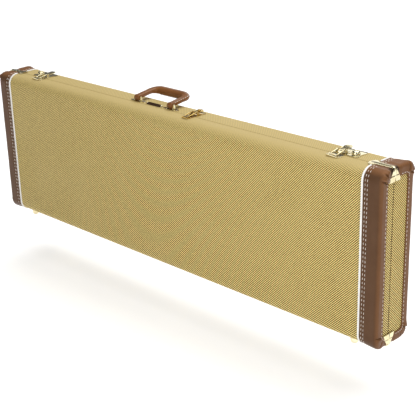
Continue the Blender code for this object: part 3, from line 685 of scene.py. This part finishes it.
def make_tweed(side):
    """The cloth over one half: round the wall, over both ends, and turned in at the seam."""
    wall = WALLS[side]
    facing = wall.facing
    s = wall.stations(0.0050)
    turns = np.linspace(0, pi / 2, 5)
    flat = END_X - CLOTH_IN - CLOTH_RADIUS
    half = []
    for turn in turns:
        half.append((flat + CLOTH_RADIUS * sin(turn), CLOTH_RADIUS * (1 - cos(turn))))
    places = [(-x, inset) for x, inset in reversed(half)] + half
    rim = SEAM_Y + facing * HALF_GAP
    grid = []
    coords = []
    for x, inset in places:
        y, z = wall.outer(s, CLOTH_IN + inset)
        column = np.stack([np.full_like(s, x), y, z], -1)
        column[0, 1] = column[-1, 1] = rim + facing * RIM_ROUND
        edges = []
        for row, up in ((0, -1), (-1, 1)):
            turned = column[row].copy()
            turned[1] = rim
            turned[2] += up * RIM_DROP
            deep = turned.copy()
            deep[2] += up * RIM_DEPTH
            edges.append((turned, deep))
        full = [edges[0][1], edges[0][0], *column, edges[1][0], edges[1][1]]
        around = [-0.0075, -0.0008, *s, wall.length + 0.0008, wall.length + 0.0075]
        grid.append(full)
        coords.append([(x, CLOTH_START[side] - distance) for distance in around])
    build = Build()
    build.grid(grid, coords)
    for index in (0, -1):
        column = np.array(grid[index])[2:-2]
        sign = 1 if index else -1
        build.cap(column, np.stack([-sign * column[:, 1], column[:, 2] + CAP_START], 1))
        x = column[0, 0]
        low, high = column[-1, 2], column[0, 2]
        edge = rim + facing * RIM_ROUND
        strip = []
        for y, inset in ((edge, 0.0), (rim, RIM_DROP), (rim, 0.0067)):
            strip.append([(x - sign * inset, y, z) for z in (low, high)])
        levels = (low + CAP_START, high + CAP_START)
        build.grid(strip, [[(-sign * y, level) for level in levels] for y in (0, 0.0007, 0.007)])
    piece = build.make(f"tweed_{side}", "tweed", side, "tweed", 40.0, turn_out=False)
    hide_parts(f"{side}_shell")
    return piece


# ---------------- corner guards

GUARD_THICK = 0.0011
GUARD_SKIN = 0.0004  # its underside stands this far off the body
RIDGE = (0.0024, 0.0011)  # half width, height
GUARD_BEND = 0.0040
# (distance from the bend, half width): along the top or bottom, and then along the end.
GUARD_OUTLINE = (
    (-0.0565, 0.0046),
    (-0.0552, 0.0090),
    (-0.0530, 0.0122),
    (-0.0500, 0.0138),
    (-0.0465, 0.0136),
    (-0.0440, 0.0112),
    (-0.0420, 0.0082),
    (-0.0385, 0.0070),
    (-0.0060, 0.0066),
    (0.0040, 0.0064),
    (0.0090, 0.0092),
    (0.0137, 0.0132),
    (0.0153, 0.0136),
    (0.0200, 0.0158),
    (0.0252, 0.0174),
    (0.0262, 0.0168),
)
GUARD_SLOT = ((-0.0052, 0.0052), (0.0030, 0.0057))  # beside the ridge at the bend
GUARD_GROOVE = (0.0137, 0.0153)  # under the two raised flaps on the end
GUARD_PART = 0.0011  # how much further apart the flaps stand at their tips
GUARD_NAILS = ((-0.0492, 0.0102), (0.0208, 0.0098), (-0.0250, 0.0045))


def guard_frame(sign, level, u, v):
    """The point and normal u past the bend and v from the seam, on a guard's underside."""
    reach = END_X + GUARD_SKIN - GUARD_BEND
    quarter = GUARD_BEND * pi / 2
    turn = np.clip((u + quarter / 2) / GUARD_BEND, 0, pi / 2)
    x = reach + np.minimum(u + quarter / 2, 0) + GUARD_BEND * np.sin(turn)
    drop = GUARD_BEND * (1 - np.cos(turn)) + np.maximum(u - quarter / 2, 0)
    top = TOP + GUARD_SKIN - drop if level == "top" else BOTTOM - GUARD_SKIN + drop
    up = 1 if level == "top" else -1
    point = np.stack([x * sign, SEAM_Y + v, top], -1)
    normal = np.stack([np.sin(turn) * sign, np.zeros_like(u), np.cos(turn) * up], -1)
    return point, normal


def make_sheet(build, points, normals, thick, kept):
    """A plate with a given thickness everywhere, only where its cells are kept, with its edges."""
    rows, columns = points.shape[:2]
    tops = build.add(points + normals * thick[..., None])
    unders = build.add(points)
    for row in range(rows - 1):
        for column in range(columns - 1):
            if not kept[row, column]:
                continue
            spots = [(row, column), (row, column + 1), (row + 1, column + 1), (row + 1, column)]
            flat = [a * columns + b for a, b in spots]
            build.faces.append(tuple(tops + spot for spot in flat))
            build.faces.append(tuple(unders + spot for spot in reversed(flat)))
            beyond = ((row - 1, column), (row, column + 1), (row + 1, column), (row, column - 1))
            for side, (a, b) in enumerate(beyond):
                inside = 0 <= a < rows - 1 and 0 <= b < columns - 1
                if not inside or not kept[a, b]:
                    one, two = flat[side], flat[(side + 1) % 4]
                    build.faces.append((tops + two, tops + one, unders + one, unders + two))


def add_dome(build, spot, normal, radius, height, steps=10):
    """A low round nail or rivet head standing on a surface."""
    normal = Vector(normal).normalized()
    across = normal.orthogonal().normalized()
    beside = normal.cross(across)
    rings = []
    for wide, high in ((1.0, 0.0), (1.0, 0.35), (0.82, 0.72), (0.45, 0.95)):
        ring = []
        for a, b in disc(wide * radius, steps):
            ring.append(Vector(spot) + across * a + beside * b + normal * (high * height))
        rings.append(ring)
    build.loft(rings)


def make_guard(side, end, level):
    """A guard's half: a plate bent over the corner, ridged beside the seam, slotted at the
    bend, with a raised flap on the end and domed nails."""
    sign = SIGN[end]
    facing = FACING[side]
    stations, widths = zip(*GUARD_OUTLINE)
    (slot_from, slot_to), (slot_in, slot_out) = GUARD_SLOT
    u = np.linspace(stations[0], stations[-1], 46)
    u = np.unique(np.concatenate([u, stations, GUARD_SLOT[0], GUARD_GROOVE]))
    half = np.interp(u, stations, widths)
    fractions = (0.0, 0.0009, 0.0017, RIDGE[0], slot_in, slot_out)
    columns = [np.full_like(u, HALF_GAP + fraction) for fraction in fractions]
    for index, column in enumerate(columns):
        columns[index] = np.minimum(column, half * 0.92 - 0.0001 * (len(columns) - index))
    rest = [columns[-1] + (half - columns[-1]) * share for share in (0.34, 0.67, 0.93, 1.0)]
    v = np.stack(columns + rest, 1)
    v = v + (GUARD_PART * smooth(u, GUARD_GROOVE[1], stations[-1]))[:, None] * (1 - v / v[:, -1:])
    u_grid = np.broadcast_to(u[:, None], v.shape)
    points, normals = guard_frame(sign, level, u_grid, v * facing)
    ridge = np.sqrt(np.clip(1 - ((v - HALF_GAP) / RIDGE[0]) ** 2, 0, 1)) * RIDGE[1]
    start = smooth(u, stations[0], stations[0] + 0.012) * (1 - smooth(u, 0.015, 0.0235))
    if level == "bottom":
        start = start * smooth(u, -0.002, 0.004)
    flap = 0.0005 * smooth(u, 0.0130, 0.0150)[:, None]
    dish = 0.00035 * smooth(v, half[:, None] * 0.55, half[:, None])
    thick = GUARD_THICK + flap + ridge * start[:, None] - dish
    thick[:, -1] *= 0.55
    kept = np.ones((len(u) - 1, v.shape[1] - 1), bool)
    for row in range(len(u) - 1):
        centre = (u[row] + u[row + 1]) / 2
        if slot_from < centre < slot_to:
            kept[row, 4] = False
        if GUARD_GROOVE[0] < centre < GUARD_GROOVE[1]:
            kept[row, 3:] = False
    build = Build()
    make_sheet(build, points, normals, thick, kept)
    for place, beside in GUARD_NAILS:
        if level == "bottom" and place < -0.03:
            continue
        across = np.array(facing * (beside + HALF_GAP))
        spot, normal = guard_frame(sign, level, np.array(place), across)
        add_dome(build, spot + normal * (GUARD_THICK - 0.0004), normal, 0.0013, 0.0009)
    piece = build.make(f"guard_{side}_{level}_{end}", "brass", side, "brass", 32.0)
    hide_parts(f"{side}_corner_guard_{level}_{end}")
    return piece


# ---------------- handle

BRACKET_LOW, BRACKET_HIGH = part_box("handle_bracket_left")
GRIP_LOW, GRIP_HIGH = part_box("handle_grip")
HANDLE_X = (GRIP_LOW.x + GRIP_HIGH.x) / 2
LEG_X = HANDLE_X - (BRACKET_LOW.x + BRACKET_HIGH.x) / 2
HANDLE_LEAN = radians(7.5)
HANDLE_REACH = 0.0582
HANDLE_CORNER = 0.0205
LEG_HALF = (0.0079, 0.0050)
GRIP_HALF = (0.0113, 0.0102)
HEEL_RADIUS = 0.0070
HEEL_BORE = 0.0021
HANDLE_THREAD = 0.00050
HANDLE_SEAM = radians(143)  # round the section, where the stitches lie in a groove
JOINTS = {joint["name"]: joint for joint in frame["record"]["behaviour"]["joints"]}
HANDLE_AXIS = Vector(JOINTS["handle_swing"]["pos_m"])


def handle_spine(count):
    """Places along the handle: the middle line, its direction, and how thick the grip is there."""
    turn = HANDLE_REACH - HANDLE_CORNER
    arc = HANDLE_CORNER * pi / 2
    bar = 2 * (LEG_X - HANDLE_CORNER)
    knots = np.cumsum([0, turn, arc, bar, arc, turn])
    s = np.linspace(0, knots[-1], count)
    angle = np.interp(s, knots, np.radians([90, 90, 0, 0, -90, -90]))
    x = -LEG_X + HANDLE_CORNER * (1 - np.sin(np.abs(angle)))
    right = s > (knots[2] + knots[3]) / 2
    x = np.where(right, -x, x)
    on_bar = (s > knots[2]) & (s < knots[3])
    x = np.where(on_bar, -LEG_X + HANDLE_CORNER + s - knots[2], x)
    reach = np.minimum(s, turn) + HANDLE_CORNER * np.cos(angle)
    reach = np.where(s > knots[4], knots[-1] - s, reach)
    near_end = np.minimum(s, knots[-1] - s)
    bulk = smooth(near_end, turn * 0.75, turn + arc * 1.25)
    return s, x, reach, angle, bulk


def handle_section(x, reach, angle, bulk, phi):
    """A point of the handle's skin and its outward direction, phi round from the inner side."""
    wide = LEG_HALF[0] + (GRIP_HALF[0] - LEG_HALF[0]) * bulk
    deep = LEG_HALF[1] + (GRIP_HALF[1] - LEG_HALF[1]) * bulk
    square = 1.0 + 0.17 * (1 - bulk) * np.sin(2 * phi) ** 2
    outer = np.exp(-(((np.abs(phi) - pi) / 0.16) ** 2))
    seam = np.exp(-(((np.abs(phi) - HANDLE_SEAM) / 0.10) ** 2))
    size = square + outer * 0.085 - seam * 0.045
    lift = (HEEL_RADIUS - LEG_HALF[1]) * (1 - bulk)
    across = np.stack([np.sin(angle), -np.cos(angle)], -1)
    side = np.cos(phi) * wide * size
    flat = np.stack([x, reach], -1) + across * side[..., None]
    point = np.stack([flat[..., 0], flat[..., 1], lift + np.sin(phi) * deep * size], -1)
    normal = [across[..., axis] * np.cos(phi) * deep for axis in (0, 1)]
    normal = np.stack([*normal, np.sin(phi) * wide], -1)
    normal /= np.linalg.norm(normal, axis=-1)[..., None]
    lean = np.array(Matrix.Rotation(HANDLE_LEAN, 3, "X"))
    return point @ lean.T + np.array(HANDLE_AXIS), normal @ lean.T


def make_handle():
    """Stitched leather over a padded core, its legs folded round the brackets' bars."""
    s, x, reach, angle, bulk = handle_spine(110)
    phi = np.radians(np.arange(-180, 180, 9.0))
    parts = [value[:, None] + 0 * phi[None, :] for value in (x, reach, angle, bulk)]
    points, _ = handle_section(*parts, np.broadcast_to(phi, parts[0].shape))
    build = Build()
    build.grid(points, closed=True)
    build.cap(points[0])
    build.cap(points[-1])
    half = LEG_HALF[0]
    edge = (
        (half - 0.0018, HEEL_RADIUS),
        (half - 0.0006, HEEL_RADIUS - 0.0005),
        (half, HEEL_RADIUS - 0.0016),
        (half, HEEL_BORE),
    )
    mirrored = [(-along, radius) for along, radius in reversed(edge)]
    profile = (*mirrored, *edge, mirrored[0])
    for sign in (-1, 1):
        rings = []
        for along, radius in profile:
            ring = disc(radius, 24)
            middle = HANDLE_AXIS + Vector((sign * LEG_X, 0, 0))
            rings.append([(middle.x + along, middle.y + a, middle.z + b) for a, b in ring])
        build.grid(rings, closed=True)
    grip = build.make("handle_leather", "leather", "handle", "leather", 50.0)
    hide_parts("handle_grip")

    stitches = Build()
    steps = np.linspace(0, 1, 6)
    pitch, length = 0.0062, 0.0042
    for row in (HANDLE_SEAM, -HANDLE_SEAM):
        for number in range(int((s[-1] - 0.012) / pitch)):
            places = 0.007 + number * pitch + steps * length
            values = [np.interp(places, s, value) for value in (x, reach, angle, bulk)]
            spine, normal = handle_section(*values, np.full(len(steps), row))
            add_stitch(stitches, spine, normal, HANDLE_THREAD, 1.0, 1.2, 0.5)
    stitches.make("handle_stitches", "thread", "handle", "leather", 60.0)


def make_keeper():
    """The ribbed leather strip under the handle, with a brass tab and rivet at each end."""
    low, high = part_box("under_handle_strip")
    middle = (low.y + high.y) / 2
    half = (high.y - low.y) * 0.62
    v = np.linspace(-1, 1, 31)
    u = np.linspace(0, 1, 40)
    x = low.x + (high.x - low.x) * u
    ends = np.sqrt(np.clip(1 - (np.clip(np.abs(u - 0.5) * 2 - 0.86, 0, 1) / 0.14) ** 2, 0, 1))
    width = half * (0.72 + 0.28 * ends)
    ribs = 0.5 + 0.5 * np.cos(v * pi * 5)
    crown = np.sqrt(np.clip(1 - v**2 * 0.92, 0, 1))
    thick = (high.z - low.z + 0.0020) * crown * (0.66 + 0.34 * ribs)
    points = spread(x[:, None], middle + v * width[:, None], low.z - 0.0002)
    build = Build()
    rise = thick[None, :] * (0.45 + 0.55 * ends[:, None])
    make_sheet(build, points, np.array([0.0, 0.0, 1.0]), rise, np.ones((39, 30), bool))
    strip = build.make("keeper_strip", "strap", "base", "leather", 50.0)
    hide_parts("under_handle_strip")
    tabs = Build()
    for x, sign in ((low.x, -1), (high.x, 1)):
        outline = []
        for a, b in disc(1.0, 20):
            outline.append((x + sign * 0.0005 + a * 0.0036, middle + b * 0.0042))
        rings = [[(a, b, z) for a, b in outline] for z in (high.z - 0.0003, high.z + 0.0002)]
        inner = []
        for a, b in outline:
            inner.append((x + (a - x) * 0.86, middle + (b - middle) * 0.86, high.z + 0.0005))
        tabs.loft(rings + [inner])
        add_dome(tabs, (x + sign * 0.0005, middle, high.z + 0.0004), (0, 0, 1), 0.0020, 0.0013, 14)
    tabs.make("keeper_rivets", "brass", "base", "brass", 40.0)


def make_hinge_cloth():
    """A cloth strip glued under the base and rolled round the hinge line, to close most of the
    gap there when the case is open. It stops short of each hinge and of the piping."""
    low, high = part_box("hinge_1_pin")
    y = (low.y + high.y) / 2
    z = (low.z + high.z) / 2
    outer, inner = 0.0027, 0.0022  # radii inside the lid's path round the pin
    glued = 0.0120  # how far it runs under the base
    turns = np.radians(np.linspace(90, 215, 14))
    profile = [(y + glued, z + outer)]
    profile += [(y + outer * cos(turn), z + outer * sin(turn)) for turn in turns]
    profile += [(y + inner * cos(turn), z + inner * sin(turn)) for turn in turns[::-1]]
    profile.append((y + glued, z + inner))
    ends = [-COVER_X + 0.0065]
    for number in (1, 2, 3):
        low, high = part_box(f"hinge_{number}_base_leaf")
        ends += [low.x - 0.0015, high.x + 0.0015]
    ends.append(COVER_X - 0.0065)
    build = Build()
    for start, end in zip(ends[::2], ends[1::2]):
        rings = [[(x, a, b) for a, b in profile] for x in np.linspace(start, end, 5)]
        build.loft(rings)
    build.make("hinge_cloth", "strap", "base", "leather", 60.0)


# ---------------- lining and supports

SWELL_CAP = 0.0022
SWELL_FRAMES = 20


def rounded_ring(low, high, inset, radius, y, per_side=24, per_corner=6):
    """A rounded rectangle in the plane of y, inset from the corners (x, z) low and high."""
    (left, bottom), (right, top) = low, high
    left, bottom, right, top = left + inset, bottom + inset, right - inset, top - inset
    radius = min(radius, (right - left) / 2, (top - bottom) / 2)
    corners = ((right, top, 0), (left, top, 90), (left, bottom, 180), (right, bottom, 270))
    turns = np.radians(np.linspace(0, 90, per_corner))
    ring = []
    for x, z, start in corners:
        cx = x - radius if x == right else x + radius
        cz = z - radius if z == top else z + radius
        for turn in turns + radians(start):
            ring.append((cx + radius * cos(turn), y, cz + radius * sin(turn)))
    full = []
    for index, point in enumerate(ring):
        full.append(point)
        if index % per_corner == per_corner - 1:
            after = ring[(index + 1) % len(ring)]
            for step in range(1, per_side):
                share = step / per_side
                full.append(tuple(a + (b - a) * share for a, b in zip(point, after)))
    return np.array(full)


def make_tub(name, node, body, facing, thick, radius, corner, soft):
    """A padded tray open towards the other half, with rounded lips and slightly slack walls."""
    low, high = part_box(node)
    corners = ((low.x, low.z), (high.x, high.z))
    rim, back = (low.y, high.y) if facing > 0 else (high.y, low.y)
    turns = np.linspace(0, pi / 2, 6)
    lip = thick / 2
    depth = rim + facing * lip
    inner = max(radius - thick, 0.003)
    floor = back - facing * thick
    sections = []
    for a in turns:
        inset = radius * (1 - sin(a)) + 0.004 * (a == 0)
        sections.append((inset, back - facing * radius * (1 - cos(a))))
    for a in np.linspace(0, pi, 9):
        sections.append((lip * (1 - cos(a)), depth - facing * lip * sin(a)))
    wall_from = len(sections)
    walls = np.linspace(depth, floor - facing * inner, 9)[1:]
    sections += [(thick, y) for y in walls]
    for a in turns[1:]:
        inset = thick + inner * (1 - cos(a))
        sections.append((inset, floor - facing * inner * (1 - sin(a))))
    rings = []
    for inset, y in sections:
        rings.append(rounded_ring(*corners, inset, max(corner - inset, 0.003), y))
    rings = np.array(rings)
    for index in range(wall_from, wall_from + len(walls) - 1):
        ring = rings[index]
        sag = np.sin(ring[:, 0] * 47.0) * np.sin(ring[:, 2] * 61.0 + 0.7) * soft
        centre = ring.mean(0)
        away = ring - centre
        away[:, 1] = 0
        rings[index] = ring - away / np.linalg.norm(away, axis=1)[:, None] * np.abs(sag)[:, None]
    build = Build()
    build.loft(rings)
    piece = build.make(name, "plush", body, "plush", 60.0)
    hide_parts(node)
    return piece


def swell(piece, voxel=0.005):
    """Blows a closed shape up a little as cloth, no point moving further than SWELL_CAP."""
    scene = bpy.context.scene

    def settled():
        graph = bpy.context.evaluated_depsgraph_get()
        return bpy.data.meshes.new_from_object(piece.evaluated_get(graph))

    remesh = piece.modifiers.new("remesh", "REMESH")
    remesh.mode = "VOXEL"
    remesh.voxel_size = voxel
    mesh = settled()
    piece.modifiers.clear()
    piece.data = mesh
    rest = np.array([vertex.co for vertex in mesh.vertices])
    cloth = piece.modifiers.new("cloth", "CLOTH")
    cloth.settings.use_pressure = True
    cloth.settings.uniform_pressure_force = 4.0
    cloth.settings.effector_weights.gravity = 0.0
    for number in range(1, SWELL_FRAMES + 1):
        scene.frame_set(number)
    blown = settled()
    piece.modifiers.clear()
    scene.frame_set(1)
    moved = np.array([vertex.co for vertex in blown.vertices]) - rest
    length = np.linalg.norm(moved, axis=1)
    moved *= np.minimum(1, SWELL_CAP / np.maximum(length, 1e-9))[:, None]
    mesh.vertices.foreach_set("co", (rest + moved).ravel())
    relax = piece.modifiers.new("relax", "SMOOTH")
    relax.factor = 0.5
    relax.iterations = 3
    finer = piece.modifiers.new("finer", "SUBSURF")
    finer.levels = finer.render_levels = 1
    done = settled()
    piece.modifiers.clear()
    piece.data = done
    done.shade_smooth()


def make_support(name, node, ends, voxel=0.005):
    """A foam block under plush, lofted between its two ends and blown up into its node."""
    piece = Build().loft(ends).make(name, "plush", "base", "plush", 60.0)
    swell(piece, voxel)
    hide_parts(node)


def make_supports():
    """Two pads that the instrument's waist fits between, and a cradle for its neck."""
    inset = SWELL_CAP
    for name, outer, inner in (("upper", 1, 0), ("lower", 0, 1)):
        low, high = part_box(f"waist_pad_{name}")
        ends = (low, high)
        wall = ends[outer].z + (inset if outer == 0 else -inset)
        tip = ends[inner].z - (inset if inner == 1 else -inset)
        shares = np.linspace(-1, 1, 25)
        middle = (low.x + high.x) / 2
        half = (high.x - low.x) / 2 - inset
        outline = []
        for share in shares:
            outline.append((middle + share * half, wall + (tip - wall) * (1 - abs(share) ** 3.2)))
        rings = [[(x, y, z) for x, z in outline] for y in (low.y + inset, high.y - inset)]
        make_support(f"pad_{name}", f"waist_pad_{name}", rings)
    low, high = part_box("neck_rest")
    middle = (low.z + high.z) / 2
    deep = low.y + 0.0257  # the channel's floor
    notch = 0.0345  # half its width
    outline = [(low.y + inset, low.z + inset), (low.y + inset, middle - notch)]
    for turn in np.radians(np.linspace(180, 0, 13)):
        y = deep - (deep - low.y - inset) * (1 - sin(turn)) ** 1.6
        outline.append((y, middle + notch * cos(turn)))
    outline += [(low.y + inset, middle + notch), (low.y + inset, high.z - inset)]
    outline += [(high.y - inset, high.z - inset), (high.y - inset, low.z + inset)]
    rings = [[(x, y, z) for y, z in outline] for x in (low.x + inset, high.x - inset)]
    make_support("neck_cradle", "neck_rest", rings, voxel=0.004)


def make_door():
    """The compartment's door: board under plush, and a leather tab to lift it by."""
    low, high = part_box("accessory_door")
    corners = ((low.x, low.z), (high.x, high.z))
    half = (high.y - low.y) / 2
    middle = (high.y + low.y) / 2
    rings = []
    for turn in np.linspace(-pi / 2, pi / 2, 11):
        inset = half * 1.1 * (1 - cos(turn))
        rings.append(rounded_ring(*corners, inset, 0.004, middle + half * sin(turn), 12, 5))
    door = Build().loft(rings).make("compartment_door", "plush", "accessory_door", "plush", 60.0)
    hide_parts("accessory_door")
    low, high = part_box("accessory_pull_tab")
    x = (low.x + high.x) / 2
    half = (high.x - low.x) / 2
    u = np.linspace(0, 1, 26)
    v = np.linspace(-1, 1, 15)
    z = high.z - (high.z - low.z) * u
    end = np.clip((u - 0.66) / 0.34, 0, 1)
    width = half * np.sqrt(np.clip(1 - end**2, 0.02, 1))
    points = spread(x + v * width[:, None], high.y, z[:, None])
    edge = np.sqrt(np.clip(1 - (np.abs(v) ** 6), 0.1, 1))
    thick = (high.y - low.y) * edge[None, :] * np.ones((26, 1))
    build = Build()
    make_sheet(build, points, np.array([0.0, -1.0, 0.0]), thick, np.ones((25, 14), bool))
    tab = build.make("pull_tab", "leather", "accessory_door", "leather", 50.0)
    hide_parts("accessory_pull_tab")
    rivet = Build()
    add_dome(rivet, (x, low.y + 0.0002, high.z - 0.006), (0, -1, 0), 0.0028, 0.0012, 16)
    rivet.make("pull_tab_rivet", "brass", "accessory_door", "brass", 40.0)


# ---------------- frame pieces kept


def keep_node(name, material, bevel=0.0):
    """Gives a CAD node its finish, smooth shading and, if asked, softened edges."""
    node = frame["nodes"][name]
    node.data.materials.clear()
    node.data.materials.append(MATERIALS[material])
    node.data.shade_smooth()
    weld = node.modifiers.new("weld", "WELD")
    weld.merge_threshold = 0.00001
    if bevel:
        flatten = node.modifiers.new("flatten", "DECIMATE")
        flatten.decimate_type = "DISSOLVE"
        flatten.angle_limit = radians(1.0)
        soften = node.modifiers.new("soften", "BEVEL")
        soften.width = bevel
        soften.segments = 2
        soften.limit_method = "ANGLE"
        soften.angle_limit = radians(40)
        soften.harden_normals = True
    split = node.modifiers.new("split", "EDGE_SPLIT")
    split.split_angle = radians(38)


def keep_nodes():
    """The CAD nodes that no piece replaces."""
    for name in frame["nodes"]:
        if name.endswith("_leaf"):
            keep_node(name, "brass", 0.00025)
        elif name.startswith(("latch_", "handle_bracket")):
            keep_node(name, "brass", 0.0002)
        elif name.startswith("lock_"):
            keep_node(name, "gold", 0.0002)
        elif name.startswith("foot_") or name.endswith("_pin"):
            keep_node(name, "brass")
        elif "piping" in name:
            keep_node(name, "piping")
        elif name == "base_valance":
            keep_node(name, "steel")


# ---------------- studio


FLOOR = -0.125  # clear of the lid, which swings below the feet when the case stands up


def make_studio():
    """A white floor and world, an overhead sun and three soft boxes."""
    mesh = bpy.data.meshes.new("studio_floor")
    corners = [(x, y, FLOOR) for x, y in ((-40, -40), (40, -40), (40, 40), (-40, 40))]
    mesh.from_pydata(corners, [], [(0, 1, 2, 3)])
    mesh.materials.append(MATERIALS["floor"])
    new_object("studio_floor", mesh)

    world = bpy.data.worlds.new("studio")
    world.use_nodes = True
    background = world.node_tree.nodes["Background"]
    background.inputs[0].default_value = colour(1.0, 1.0, 1.0)
    background.inputs[1].default_value = 0.16
    bpy.context.scene.world = world

    def lamp(name, kind, power, away):
        light = bpy.data.lights.new(name, kind)
        light.energy = power
        made = new_object(name, light)
        made.rotation_euler = away.to_track_quat("Z", "Y").to_euler()
        return made

    def sun(name, azimuth, elevation, strength, spread):
        a, e = radians(azimuth), radians(elevation)
        away = Vector((sin(a) * cos(e), -cos(a) * cos(e), sin(e)))
        lamp(name, "SUN", strength, away).data.angle = radians(spread)

    def softbox(name, place, aim, size, power):
        box = lamp(name, "AREA", power, Vector(place) - Vector(aim))
        box.location = place
        box.data.shape = "RECTANGLE"
        box.data.size, box.data.size_y = size

    sun("overhead", 160, 80, 2.85, 70)
    softbox("key", (0.65, -1.35, 0.75), (0.25, 0.0, 0.2), (0.7, 0.7), 5.2)
    softbox("side", (2.2, -0.6, 0.95), (0.6, 0.0, 0.25), (0.6, 0.8), 5.7)
    softbox("backdrop", (-0.6, 1.9, 1.15), (0.3, 0.0, 0.35), (2.4, 0.9), 7.5)
    bpy.context.scene.view_settings.view_transform = "Standard"


def make_camera():
    """The photograph's view: low and from the right-hand end, through a long lens."""
    azimuth, elevation, roll = map(radians, (45.29, 21.5, -1.74))
    place = (1.6603, MIDDLE_Y - 1.5446, BOTTOM + 1.0262)
    level = cos(elevation)
    ahead = Vector(
        (-sin(azimuth) * level, cos(azimuth) * level, -sin(elevation))
    )
    right = ahead.cross(Vector((0, 0, 1))).normalized()
    up = right.cross(ahead)
    tilted_right = cos(roll) * right + sin(roll) * up
    tilted_up = cos(roll) * up - sin(roll) * right
    turned = Matrix((tilted_right, tilted_up, -ahead)).transposed()
    data = bpy.data.cameras.new("camera")
    data.lens = 89.36
    data.sensor_width = 36.0
    camera = new_object("camera", data)
    camera.matrix_world = Matrix.Translation(place) @ turned.to_4x4()
    bpy.context.scene.camera = camera


MATERIALS = make_materials()
make_camera()
make_studio()
keep_nodes()
for half in FACING:
    make_tweed(half)
    for which in SIGN:
        make_vinyl(half, which)
        make_stitches(half, which)
        for level in ("top", "bottom"):
            make_guard(half, which, level)
make_handle()
make_keeper()
make_hinge_cloth()
make_tub("lining_base", "base_lining", "base", 1, 0.0060, 0.0148, 0.0148, 0.0008)
make_tub("lining_lid", "lid_lining", "lid", -1, 0.0060, 0.0148, 0.0148, 0.0008)
make_tub("compartment", "accessory_box", "base", 1, 0.0040, 0.0040, 0.0040, 0.0)
make_supports()
make_door()
